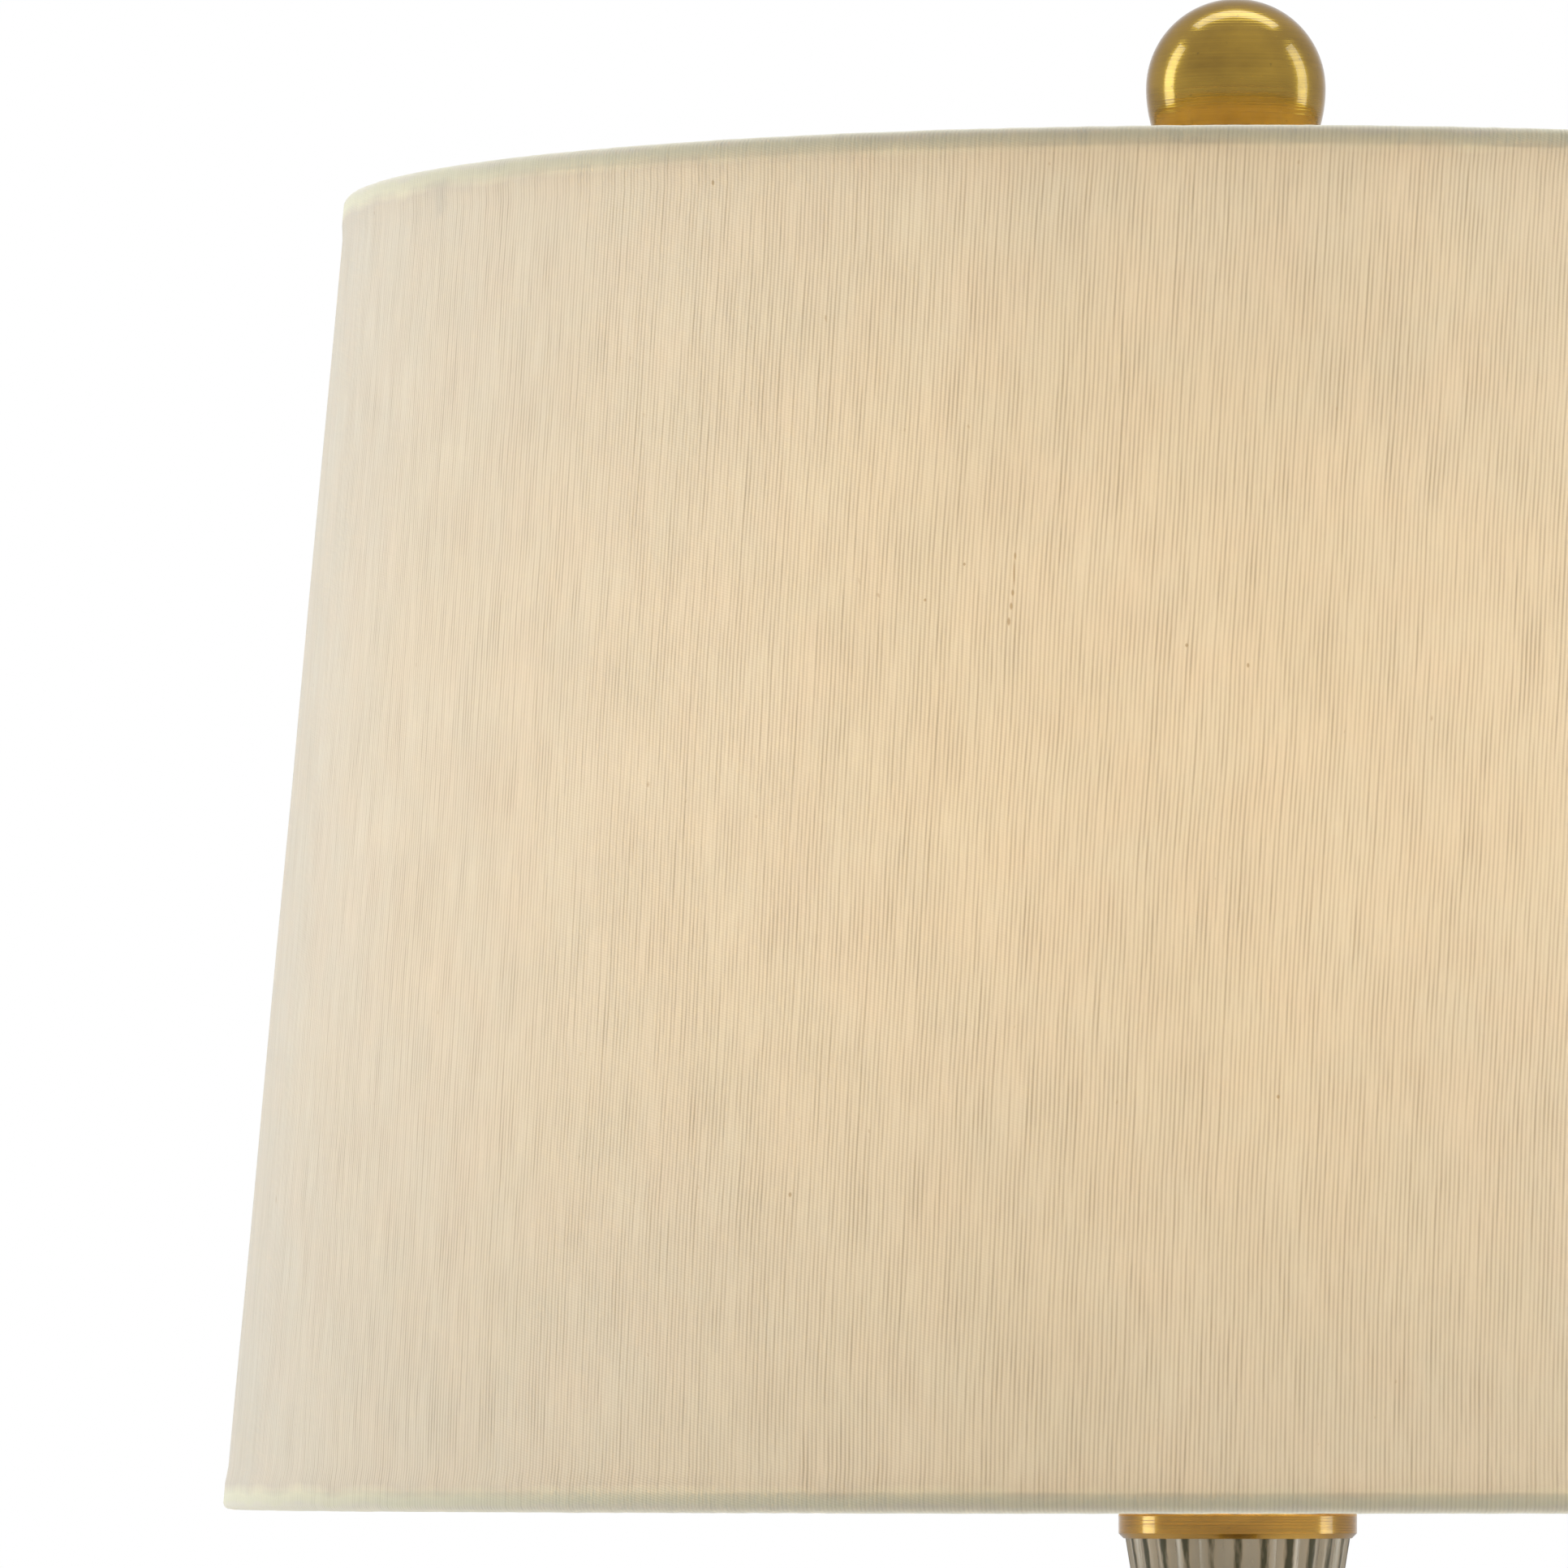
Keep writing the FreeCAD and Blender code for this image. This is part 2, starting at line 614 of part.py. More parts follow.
def set_screw():
    """Screw in the socket cap's hub that locks it on the pipe."""
    start = PIPE_RADIUS + TURN
    shank = across_hub(SET_SCREW_RADIUS, start, SOCKET_HUB_RADIUS - start)
    head = across_hub(SET_SCREW_HEAD_RADIUS, SOCKET_HUB_RADIUS, SET_SCREW_HEAD)
    return shank.fuse(head).removeSplitter()


def socket_cap():
    """Spun cup under the socket, screwed on the top of the pipe."""
    shoulder = SADDLE_TOP_Z + SOCKET_HUB_HEIGHT
    rim = SOCKET_CAP_TOP_Z - SHELL_LAP - SOCKET_WALL
    bulge_r, bulge_z = SOCKET_CAP_BULGE[0], shoulder + SOCKET_CAP_BULGE[1]
    body = turned(
        (PIPE_HOLE, SADDLE_TOP_Z),
        (SOCKET_HUB_RADIUS, SADDLE_TOP_Z),
        (SOCKET_HUB_RADIUS, shoulder),
        via(bulge_r, bulge_z),
        (SOCKET_CAP_RADIUS, rim),
        (SOCKET_CAP_RADIUS, SOCKET_CAP_TOP_Z),
        (SHELL_RADIUS + SLIP, SOCKET_CAP_TOP_Z),
        (SHELL_RADIUS + SLIP, rim),
        via(bulge_r - SOCKET_WALL, bulge_z + SOCKET_WALL),
        (SOCKET_HUB_RADIUS - SOCKET_WALL, shoulder + SOCKET_WALL),
        (PIPE_HOLE, shoulder + SOCKET_WALL),
    )
    return body.cut(across_hub(SET_SCREW_RADIUS + TURN, 0, SOCKET_HUB_RADIUS))


def stem_hole(radius):
    """A round hole towards the lamp's front, where the switch stem passes."""
    return rod(radius, SOCKET_CAP_RADIUS * 2, (0, 0, SWITCH_Z), (0, -1, 0))


def socket_shell():
    """Brass shell with two rolled beads, and a lip turned in under the core."""
    low_bead = SOCKET_CAP_TOP_Z + SHELL_BEAD
    body = turned(
        (SHELL_INSIDE, CORE_Z),
        (SHELL_INSIDE - SHELL_LIP, CORE_Z),
        (SHELL_INSIDE - SHELL_LIP, SHELL_Z),
        (SHELL_RADIUS, SHELL_Z),
        (SHELL_RADIUS, low_bead - SHELL_BEAD),
        via(SHELL_RADIUS + SHELL_BEAD, low_bead),
        (SHELL_RADIUS, low_bead + SHELL_BEAD),
        (SHELL_RADIUS, SHELL_TOP_Z - 2 * SHELL_BEAD),
        via(SHELL_RADIUS + SHELL_BEAD, SHELL_TOP_Z - SHELL_BEAD),
        (SHELL_RADIUS, SHELL_TOP_Z),
        (SHELL_INSIDE, SHELL_TOP_Z),
    )
    return body.cut(stem_hole(STEM_HOLE_RADIUS))


def socket_liner():
    outer = SHELL_INSIDE - LAP
    body = tube(outer, outer - LINER_THICKNESS, CORE_Z, SHELL_TOP_Z - SOCKET_WALL)
    return body.cut(stem_hole(STEM_HOLE_RADIUS))


def terminal_screw(side):
    """A wire screw in the side of the core: side is 1 on the right and -1 on the left."""
    z = CORE_TOP_Z - TERMINAL_DROP
    head = rod(TERMINAL_HEAD_RADIUS, TERMINAL_HEAD, (side * TERMINAL_FLAT, 0, z), (side, 0, 0))
    shank = rod(TERMINAL_SHANK_RADIUS, TERMINAL_SHANK, (side * TERMINAL_FLAT, 0, z), (-side, 0, 0))
    return head.fuse(shank).removeSplitter()


def socket_core():
    """Moulded body: flats with screw holes at the sides, and a bearing for the switch stem."""
    body = rod(CORE_RADIUS, CORE_HEIGHT, (0, 0, CORE_Z))
    for side in (1, -1):
        flat = Part.makeBox(
            CORE_RADIUS,
            2 * CORE_RADIUS,
            CORE_HEIGHT,
            FreeCAD.Vector(TERMINAL_FLAT, -CORE_RADIUS, CORE_Z),
        )
        if side < 0:
            flat.translate(FreeCAD.Vector(-2 * TERMINAL_FLAT - CORE_RADIUS, 0, 0))
        hole = rod(
            TERMINAL_SHANK_RADIUS + TURN,
            TERMINAL_SHANK + TURN,
            (side * TERMINAL_FLAT, 0, CORE_TOP_Z - TERMINAL_DROP),
            (-side, 0, 0),
        )
        body = body.cut(flat).cut(hole)
    bearing = rod(
        STEM_RADIUS + TURN,
        CORE_RADIUS,
        (0, -(CORE_RADIUS - STEM_DEPTH - TURN), SWITCH_Z),
        (0, -1, 0),
    )
    return body.cut(bearing)


def screw_shell():
    """Thin threaded cup that takes the bulb, open under its middle for the contact."""
    outer = SCREW_SHELL_RADIUS + SCREW_SHELL_WALL
    return turned(
        (SCREW_SHELL_HOLE, CORE_TOP_Z),
        (outer, CORE_TOP_Z),
        (outer, CORE_TOP_Z + SCREW_SHELL_HEIGHT),
        (SCREW_SHELL_RADIUS, CORE_TOP_Z + SCREW_SHELL_HEIGHT),
        (SCREW_SHELL_RADIUS, CORE_TOP_Z + SCREW_SHELL_FLOOR),
        (SCREW_SHELL_HOLE, CORE_TOP_Z + SCREW_SHELL_FLOOR),
    )


def centre_contact():
    return turned(
        (0, CORE_TOP_Z),
        (CONTACT_RADIUS, CORE_TOP_Z),
        (CONTACT_RADIUS, CORE_TOP_Z + CONTACT_HEIGHT / 2),
        (CONTACT_RADIUS / 2, CONTACT_TOP_Z),
        (0, CONTACT_TOP_Z),
    )


def socket_pieces():
    return {
        "socket_cap": socket_cap(),
        "socket_set_screw": set_screw(),
        "socket_shell": socket_shell(),
        "socket_liner": socket_liner(),
        "socket_core": socket_core(),
        "socket_screw_shell": screw_shell(),
        "socket_contact": centre_contact(),
        "terminal_screw_brass": terminal_screw(1),
        "terminal_screw_nickel": terminal_screw(-1),
    }


def switch_pieces():
    """The turn knob and the stem that carries it into the socket's core."""
    stem_end = -(CORE_RADIUS - STEM_DEPTH)
    knob_back = -(SHELL_RADIUS + KNOB_STANDOFF)
    stem_length = stem_end - knob_back + STEM_IN_KNOB
    stem = rod(STEM_RADIUS, stem_length, (0, stem_end, SWITCH_Z), (0, -1, 0))
    knob = turned(
        (0, 0),
        (KNOB_RADIUS, 0, KNOB_ROUND),
        (KNOB_RADIUS, KNOB_LENGTH, KNOB_ROUND),
        (0, KNOB_LENGTH),
    )
    reach = KNOB_RADIUS + KNOB_FLUTE_RADIUS - KNOB_RIB_DEPTH
    for i in range(KNOB_RIBS):
        angle = 2 * math.pi * i / KNOB_RIBS
        place = (reach * math.cos(angle), reach * math.sin(angle), 0)
        knob = knob.cut(rod(KNOB_FLUTE_RADIUS, KNOB_LENGTH, place))
    knob = knob.cut(rod(STEM_RADIUS + TURN, STEM_IN_KNOB + TURN, (0, 0, 0)))
    knob.rotate(FreeCAD.Vector(0, 0, 0), FreeCAD.Vector(1, 0, 0), 90)
    knob.translate(FreeCAD.Vector(0, knob_back, SWITCH_Z))
    return {"switch_stem": stem, "switch_knob": knob}


# --------------------------------------------------------------------------------- bulb


def bulb_cap():
    """Screw cap: rolled threads, drawn here as a wave, round the insulator."""
    low, high = BULB_CAP_Z, GLASS_Z
    root = BULB_CAP_RADIUS - BULB_THREAD_DEPTH
    valley = root - BULB_THREAD_DEPTH / 2
    rise = (BULB_CAP_HEIGHT - BULB_CAP_PLAIN) / (2 * BULB_THREADS)
    outside = [(root, low)]
    for i in range(BULB_THREADS):
        z = low + 2 * i * rise
        outside += [via(BULB_CAP_RADIUS, z + rise / 2), (root, z + rise)]
        outside += [via(valley, z + 3 * rise / 2), (root, z + 2 * rise)]
    return turned(
        *outside,
        (BULB_CAP_RADIUS, high - BULB_CAP_PLAIN + BULB_THREAD_DEPTH),
        (BULB_CAP_RADIUS, high),
        (BULB_CAP_INSIDE, high),
        (BULB_CAP_INSIDE, low),
    )


def bulb_glass():
    """Pear-shaped frosted glass with a neck that goes down into the cap."""
    top = GLASS_Z + BULB_HEIGHT
    middle = top - BULB_RADIUS
    neck = BULB_CAP_INSIDE - TURN
    foot = GLASS_Z - BULB_NECK_IN_CAP
    waist_r, waist_z = BULB_WAIST[0], GLASS_Z + BULB_WAIST[1]

    def on_round(radius, degrees):
        angle = math.radians(degrees)
        return radius * math.cos(angle), middle + radius * math.sin(angle)

    halfway = (BULB_ROUND_FROM + 90) / 2
    thin = BULB_RADIUS - GLASS_WALL
    return turned(
        (neck, foot),
        (neck, GLASS_Z),
        via(waist_r, waist_z),
        on_round(BULB_RADIUS, BULB_ROUND_FROM),
        via(*on_round(BULB_RADIUS, halfway)),
        (0, top),
        (0, top - GLASS_WALL),
        via(*on_round(thin, halfway)),
        on_round(thin, BULB_ROUND_FROM),
        via(waist_r - GLASS_WALL, waist_z),
        (neck - GLASS_WALL, GLASS_Z),
        (neck - GLASS_WALL, foot),
    )


def bulb_pieces():
    foot = BULB_CAP_INSIDE - TURN
    insulator = turned(
        (0, INSULATOR_Z),
        (BULB_CONTACT_RADIUS + SLIP, INSULATOR_Z),
        (foot, BULB_CAP_Z),
        (foot, BULB_CAP_Z + BULB_CONTACT),
        (0, BULB_CAP_Z + BULB_CONTACT),
    )
    contact = turned(
        (0, BULB_Z),
        (BULB_CONTACT_RADIUS / 2, BULB_Z),
        (BULB_CONTACT_RADIUS, BULB_Z + BULB_CONTACT / 2),
        (BULB_CONTACT_RADIUS, INSULATOR_Z),
        (0, INSULATOR_Z),
    )
    return {
        "bulb_glass": bulb_glass(),
        "bulb_cap": bulb_cap(),
        "bulb_insulator": insulator,
        "bulb_contact": contact,
    }


# --------------------------------------------------------------------- harp and its parts


def harp_saddle():
    """Strip clamped under the socket, with an upright channel at each end."""
    half = HARP_FOOT_SPREAD
    strip = Part.makeBox(
        2 * half, SADDLE_WIDTH, SADDLE_THICKNESS, FreeCAD.Vector(-half, -SADDLE_WIDTH / 2, SADDLE_Z)
    )
    for side in (1, -1):
        strip = strip.fuse(rod(SADDLE_WIDTH / 2, SADDLE_THICKNESS, (side * half, 0, SADDLE_Z)))
    strip = strip.cut(rod(PIPE_HOLE, SADDLE_THICKNESS, (0, 0, SADDLE_Z)))
    for side in (1, -1):
        prong = rod(PRONG_RADIUS, PRONG_HEIGHT, (side * half, 0, SADDLE_TOP_Z))
        prong = prong.cut(rod(PRONG_INSIDE, PRONG_HEIGHT, (side * half, 0, SADDLE_TOP_Z)))
        wedge = Part.makeCylinder(
            2 * PRONG_RADIUS,
            PRONG_HEIGHT,
            FreeCAD.Vector(side * half, 0, SADDLE_TOP_Z),
            FreeCAD.Vector(0, 0, 1),
            PRONG_OPENING,
        )
        turn = 90 - PRONG_OPENING / 2
        wedge.rotate(FreeCAD.Vector(side * half, 0, 0), FreeCAD.Vector(0, 0, 1), turn)
        strip = strip.fuse(prong.cut(wedge))
    return strip.removeSplitter()


def harp_line():
    """Half of the harp's centreline as edges, from its right foot to the middle of its top."""
    splay = math.radians(HARP_SPLAY)
    foot_z = SADDLE_TOP_Z + PRONG_GAP
    bend_z = foot_z + HARP_LEG_STRAIGHT
    top_z = EYE_Z + EYE_THICKNESS / 2
    side_x = HARP_FOOT_SPREAD + HARP_SPLAY_BEND * (1 - math.cos(splay))
    side_z = bend_z + HARP_SPLAY_BEND * math.sin(splay)

    def long_bend(lean):
        """Radius of the long side arc that reaches the top when the legs end leaning in."""
        rise = top_z - side_z - HARP_TOP_BEND * (1 - math.sin(lean))
        return rise / (math.sin(splay) + math.sin(lean))

    def top_x(lean):
        radius = long_bend(lean)
        across = radius * (math.cos(lean) - math.cos(splay))
        return side_x + across - HARP_TOP_BEND * math.cos(lean)

    low, high = math.radians(1), math.radians(80)
    for _ in range(60):
        lean = (low + high) / 2
        if top_x(lean) > HARP_TOP_FLAT:
            low = lean
        else:
            high = lean
    radius = long_bend(lean)

    def arc(start, centre, bend, first, last):
        """An arc of that radius about centre, between two angles from the centre."""
        points = [
            FreeCAD.Vector(centre[0] + bend * math.cos(a), 0, centre[1] + bend * math.sin(a))
            for a in (first, (first + last) / 2, last)
        ]
        return Part.Arc(start, points[1], points[2]).toShape(), points[2]

    foot = FreeCAD.Vector(HARP_FOOT_SPREAD, 0, foot_z)
    knee = FreeCAD.Vector(HARP_FOOT_SPREAD, 0, bend_z)
    splay_centre = (HARP_FOOT_SPREAD + HARP_SPLAY_BEND, bend_z)
    edges = [Part.LineSegment(foot, knee).toShape()]
    edge, side = arc(knee, splay_centre, HARP_SPLAY_BEND, math.pi, math.pi - splay)
    edges.append(edge)
    long_centre = (side.x - radius * math.cos(splay), side.z + radius * math.sin(splay))
    edge, shoulder = arc(side, long_centre, radius, -splay, lean)
    edges.append(edge)
    top_centre = (
        shoulder.x - HARP_TOP_BEND * math.cos(lean),
        shoulder.z - HARP_TOP_BEND * math.sin(lean),
    )
    edge, corner = arc(shoulder, top_centre, HARP_TOP_BEND, lean, math.pi / 2)
    edges.append(edge)
    middle = FreeCAD.Vector(0, 0, corner.z)
    edges.append(Part.LineSegment(corner, middle).toShape())
    return edges, foot


def harp_loop():
    """Bent wire with a drilled eye at its top, where the stud turns."""
    edges, foot = harp_line()
    section = Part.Wire(
        Part.makeCircle(HARP_WIRE_RADIUS, foot, FreeCAD.Vector(0, 0, 1))
    )
    half = Part.Wire(edges).makePipeShell([section], True, True)
    other = half.mirror(FreeCAD.Vector(0, 0, 0), FreeCAD.Vector(1, 0, 0))
    eye = rod(EYE_RADIUS, EYE_THICKNESS, (0, 0, EYE_Z))
    loop = half.fuse([other, eye])
    hole = rod(STUD_SHANK_RADIUS + TURN, 2 * EYE_THICKNESS, (0, 0, EYE_Z - EYE_THICKNESS / 2))
    return loop.cut(hole).removeSplitter()


def harp_sleeve(side):
    """Brass sleeve that drops over a harp foot and its prong and locks them together."""
    low = SADDLE_TOP_Z + SLIP
    outer = SLEEVE_INSIDE + SLEEVE_WALL
    sleeve = turned(
        (SLEEVE_INSIDE, low),
        (outer, low, SLEEVE_ROUND),
        (outer, low + SLEEVE_HEIGHT, SLEEVE_ROUND),
        (SLEEVE_INSIDE, low + SLEEVE_HEIGHT),
    )
    sleeve.translate(FreeCAD.Vector(side * HARP_FOOT_SPREAD, 0, 0))
    return sleeve


def harp_stud():
    """Threaded post with a flange for the shade to rest on, riveted through the harp's eye."""
    root = STUD_RADIUS - STUD_THREAD_DEPTH
    threads = int((STUD_HEIGHT - 2 * STUD_PITCH) / STUD_PITCH)
    side = [(STUD_RADIUS, HUB_Z - TURN)]
    first = STUD_TOP_Z - STUD_PITCH / 2 - threads * STUD_PITCH
    for i in range(threads):
        z = first + i * STUD_PITCH
        side += [(STUD_RADIUS, z), (root, z + STUD_PITCH / 2)]
    side += [(STUD_RADIUS, STUD_TOP_Z - STUD_PITCH / 2), (root, STUD_TOP_Z)]
    rivet_top = EYE_Z - TURN
    return turned(
        (0, rivet_top - STUD_RIVET),
        (STUD_RIVET_RADIUS, rivet_top - STUD_RIVET, STUD_RIVET / 2),
        (STUD_RIVET_RADIUS, rivet_top),
        (STUD_SHANK_RADIUS, rivet_top),
        (STUD_SHANK_RADIUS, FLANGE_Z),
        (STUD_FLANGE_RADIUS, FLANGE_Z),
        (STUD_FLANGE_RADIUS, FLANGE_Z + STUD_FLANGE),
        *side,
        (0, STUD_TOP_Z),
    )


def harp_pieces():
    return {
        "harp_saddle": harp_saddle(),
        "harp_loop": harp_loop(),
        "harp_sleeve_right": harp_sleeve(1),
        "harp_sleeve_left": harp_sleeve(-1),
        "harp_stud": harp_stud(),
    }


# -------------------------------------------------------------------------------- shade


def shade_radius(z, inset=0.0):
    """Radius of the shade's outside at a height, less an inset through its layers."""
    slope = (SHADE_TOP_RADIUS - SHADE_BOTTOM_RADIUS) / SHADE_HEIGHT
    return SHADE_BOTTOM_RADIUS + slope * (z - SHADE_Z) - inset


FABRIC_INSET = HEM_CLOTH
BACKING_INSET = FABRIC_INSET + FABRIC_THICKNESS + LAP
INSIDE_INSET = BACKING_INSET + BACKING_THICKNESS
RING_INSET = INSIDE_INSET + RING_GAP + RING_RADIUS
EDGE = HEM_CLOTH + LAP  # from a hem's fold to the edges of the layers inside it
TOP_RING_Z = SHADE_TOP_Z - EDGE - RING_RADIUS
BOTTOM_RING_Z = SHADE_Z + EDGE + RING_RADIUS


def shade_layer(inset, thickness):
    low, high = SHADE_Z + EDGE, SHADE_TOP_Z - EDGE
    return turned(
        (shade_radius(low, inset + thickness), low),
        (shade_radius(low, inset), low),
        (shade_radius(high, inset), high),
        (shade_radius(high, inset + thickness), high),
    )


def shade_ring(z):
    """Steel wire ring inside a hem."""
    radius = shade_radius(z, RING_INSET)
    return Part.makeTorus(radius, RING_RADIUS, FreeCAD.Vector(0, 0, z), FreeCAD.Vector(0, 0, 1))


def hem(edge_z, ring_z, up):
    """Strip of the cover folded over a ring: edge_z is its fold, and up points out of it."""
    leg_z = edge_z - up * HEM_HEIGHT
    inner_face = shade_radius(ring_z, RING_INSET) - RING_RADIUS - LAP
    crease = edge_z - up * HEM_CLOTH
    corners = [
        (shade_radius(leg_z), leg_z),
        (shade_radius(edge_z), edge_z, HEM_ROUND),
        (inner_face - HEM_CLOTH, edge_z, HEM_ROUND),
        (inner_face - HEM_CLOTH, leg_z),
        (inner_face, leg_z),
        (inner_face, crease),
        (shade_radius(crease, HEM_CLOTH), crease),
        (shade_radius(leg_z, HEM_CLOTH), leg_z),
    ]
    return turned(*corners)


def spider():
    """Hub washer and arms: each runs out level, then turns up to the underside of the ring."""
    axis_z = HUB_Z + HUB_THICKNESS / 2
    reach = shade_radius(TOP_RING_Z, RING_INSET)
    top = TOP_RING_Z - RING_RADIUS - LAP
    shape = tube(HUB_RADIUS, STUD_RADIUS + SLIP, HUB_Z, HUB_Z + HUB_THICKNESS)
    start = FreeCAD.Vector(HUB_RADIUS - SPIDER_RADIUS, 0, axis_z)
    bend = FreeCAD.Vector(reach - SPIDER_BEND, 0, axis_z)
    diagonal = SPIDER_BEND * math.sqrt(0.5)
    middle = bend + FreeCAD.Vector(diagonal, 0, SPIDER_BEND - diagonal)
    rise = bend + FreeCAD.Vector(SPIDER_BEND, 0, SPIDER_BEND)
    path = Part.Wire(
        [
            Part.LineSegment(start, bend).toShape(),
            Part.Arc(bend, middle, rise).toShape(),
            Part.LineSegment(rise, FreeCAD.Vector(reach, 0, top)).toShape(),
        ]
    )
    section = Part.Wire(Part.makeCircle(SPIDER_RADIUS, start, FreeCAD.Vector(1, 0, 0)))
    for i in range(SPIDER_ARMS):
        arm = path.makePipeShell([section], True, True)
        arm.rotate(
            FreeCAD.Vector(0, 0, 0), FreeCAD.Vector(0, 0, 1), 90 + 360 * i / SPIDER_ARMS
        )
        shape = shape.fuse(arm)
    return shape.cut(rod(STUD_RADIUS + SLIP, 4 * HUB_THICKNESS, (0, 0, HUB_Z - HUB_THICKNESS)))


def shade_pieces():
    return {
        "shade_cover": shade_layer(FABRIC_INSET, FABRIC_THICKNESS),
        "shade_backing": shade_layer(BACKING_INSET, BACKING_THICKNESS),
        "shade_top_hem": hem(SHADE_TOP_Z, TOP_RING_Z, 1),
        "shade_bottom_hem": hem(SHADE_Z, BOTTOM_RING_Z, -1),
        "shade_top_ring": shade_ring(TOP_RING_Z),
        "shade_bottom_ring": shade_ring(BOTTOM_RING_Z),
        "shade_spider": spider(),
    }


# ------------------------------------------------------------------------------- finial


def finial_pieces():
    """A ball, very slightly drawn out below its middle, on a turned and threaded foot."""
    middle_z = FINIAL_SEAT_Z + FINIAL_DROP
    lower = Part.Ellipse(
        flat_point(0, middle_z - FINIAL_LOWER),
        flat_point(FINIAL_RADIUS, middle_z),
        flat_point(0, middle_z),
    )
    seat = flat_point(FINIAL_SEAT_RADIUS, FINIAL_SEAT_Z)
    side = flat_point(FINIAL_RADIUS, middle_z)
    ends = sorted((lower.parameter(seat), lower.parameter(side)))
    crown = math.sqrt(0.5) * FINIAL_RADIUS
    top = flat_point(0, middle_z + FINIAL_RADIUS)
    profile = Part.Wire(
        Part.__sortEdges__(
            [
                lower.toShape(*ends),
                Part.Arc(side, flat_point(crown, middle_z + crown), top).toShape(),
                Part.LineSegment(top, flat_point(0, FINIAL_SEAT_Z)).toShape(),
                Part.LineSegment(flat_point(0, FINIAL_SEAT_Z), seat).toShape(),
            ]
        )
    )
    ball = Part.Face(profile).revolve(FreeCAD.Vector(0, 0, 0), FreeCAD.Vector(0, 0, 1), 360)
    socket = rod(
        FINIAL_SPIGOT_RADIUS + TURN, FINIAL_SPIGOT_HEIGHT + TURN, (0, 0, FINIAL_SEAT_Z)
    )
    foot = turned(
        (0, FINIAL_Z),
        (FINIAL_FOOT_RADIUS, FINIAL_Z, COLLAR_ROUND),
        (FINIAL_FOOT_RADIUS, FINIAL_WAIST_Z, COLLAR_ROUND),
        (FINIAL_SEAT_RADIUS, FINIAL_WAIST_Z),
        via(FINIAL_WAIST_RADIUS, (FINIAL_WAIST_Z + FINIAL_SEAT_Z) / 2),
        (FINIAL_SEAT_RADIUS, FINIAL_SEAT_Z),
        (FINIAL_SPIGOT_RADIUS, FINIAL_SEAT_Z),
        (FINIAL_SPIGOT_RADIUS, FINIAL_SEAT_Z + FINIAL_SPIGOT_HEIGHT),
        (0, FINIAL_SEAT_Z + FINIAL_SPIGOT_HEIGHT),
    )
    depth = STUD_TOP_Z - FINIAL_Z + FINIAL_BORE_SPARE
    foot = foot.cut(rod(STUD_RADIUS + SLIP, depth, (0, 0, FINIAL_Z)))
    return {"finial_ball": ball.cut(socket), "finial_foot": foot}


# --------------------------------------------------------------------------------- write


def main():
    os.makedirs("parts", exist_ok=True)
    pieces = {}
    for group in (
        column_pieces,
        socket_pieces,
        switch_pieces,
        bulb_pieces,
        harp_pieces,
        shade_pieces,
        finial_pieces,
    ):
        pieces.update(group())
    for name, shape in pieces.items():
        shape.exportStep(os.path.join("parts", name + ".step"))
    top = max(shape.BoundBox.ZMax for shape in pieces.values())
    print(len(pieces), "nodes, height", round(top, 1), "mm")


main()
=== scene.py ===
# %% [markdown]
# # A candlestick lamp
# The lamp is a reeded metal candlestick with a tapered cloth shade and a brass ball on top.
# Its rigid pieces were drawn in a CAD program and come in here as a fixed frame: they are
# never moved or reshaped, they only get a better finish. The cloth and the felt are made in
# this script instead, because a CAD solid of cloth looks like card. Everything is in metres.

# %% Load the frame
import math

import bpy
import numpy as np
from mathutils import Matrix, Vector, noise


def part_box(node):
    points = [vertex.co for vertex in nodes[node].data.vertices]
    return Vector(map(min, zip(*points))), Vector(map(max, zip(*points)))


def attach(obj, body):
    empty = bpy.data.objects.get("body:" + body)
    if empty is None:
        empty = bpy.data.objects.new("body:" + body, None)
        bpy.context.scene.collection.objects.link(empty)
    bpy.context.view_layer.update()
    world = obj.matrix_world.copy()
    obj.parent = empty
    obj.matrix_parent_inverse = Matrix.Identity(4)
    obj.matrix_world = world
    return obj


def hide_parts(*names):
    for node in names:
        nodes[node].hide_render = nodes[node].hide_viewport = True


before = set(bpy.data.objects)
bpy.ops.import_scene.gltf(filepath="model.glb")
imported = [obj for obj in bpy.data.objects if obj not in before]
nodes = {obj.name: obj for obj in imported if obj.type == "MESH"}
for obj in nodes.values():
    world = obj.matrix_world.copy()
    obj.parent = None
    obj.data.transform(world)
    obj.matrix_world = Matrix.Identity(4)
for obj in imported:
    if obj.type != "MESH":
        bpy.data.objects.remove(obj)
scene = bpy.context.scene
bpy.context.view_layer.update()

# %% [markdown]
# ## The camera
# A long lens from over three metres away keeps the shade's sides nearly straight, as a shop
# photograph does. The camera could look level and shift its film to frame the lamp, but
# turning it a little is simpler, and other views can then reuse the same lens.

# %% Camera
CAMERA_PLACE = Vector((0.0, -3.232, 0.4713))
CAMERA_TARGET = Vector((-0.0966, 0.0, 0.6124))
FILM_WIDTH_MM = 36.0
LENS_MM = 348.1

camera_data = bpy.data.cameras.new("camera")
camera_data.sensor_width = FILM_WIDTH_MM
camera_data.lens = LENS_MM
camera = bpy.data.objects.new("camera", camera_data)
scene.collection.objects.link(camera)
camera.location = CAMERA_PLACE
camera.rotation_euler = (CAMERA_TARGET - CAMERA_PLACE).to_track_quat("-Z", "Y").to_euler()
scene.camera = camera
print("camera", round((CAMERA_TARGET - CAMERA_PLACE).length, 3), "m from the lamp")

# %% [markdown]
# ## Small helpers for materials
# A material is a graph of nodes. Wiring each node by hand takes four lines, so these helpers
# do it in one: a value that is a socket is linked, and anything else is typed into the input.
# All patterns are worked out from a point's place on the piece, so they need no pictures.


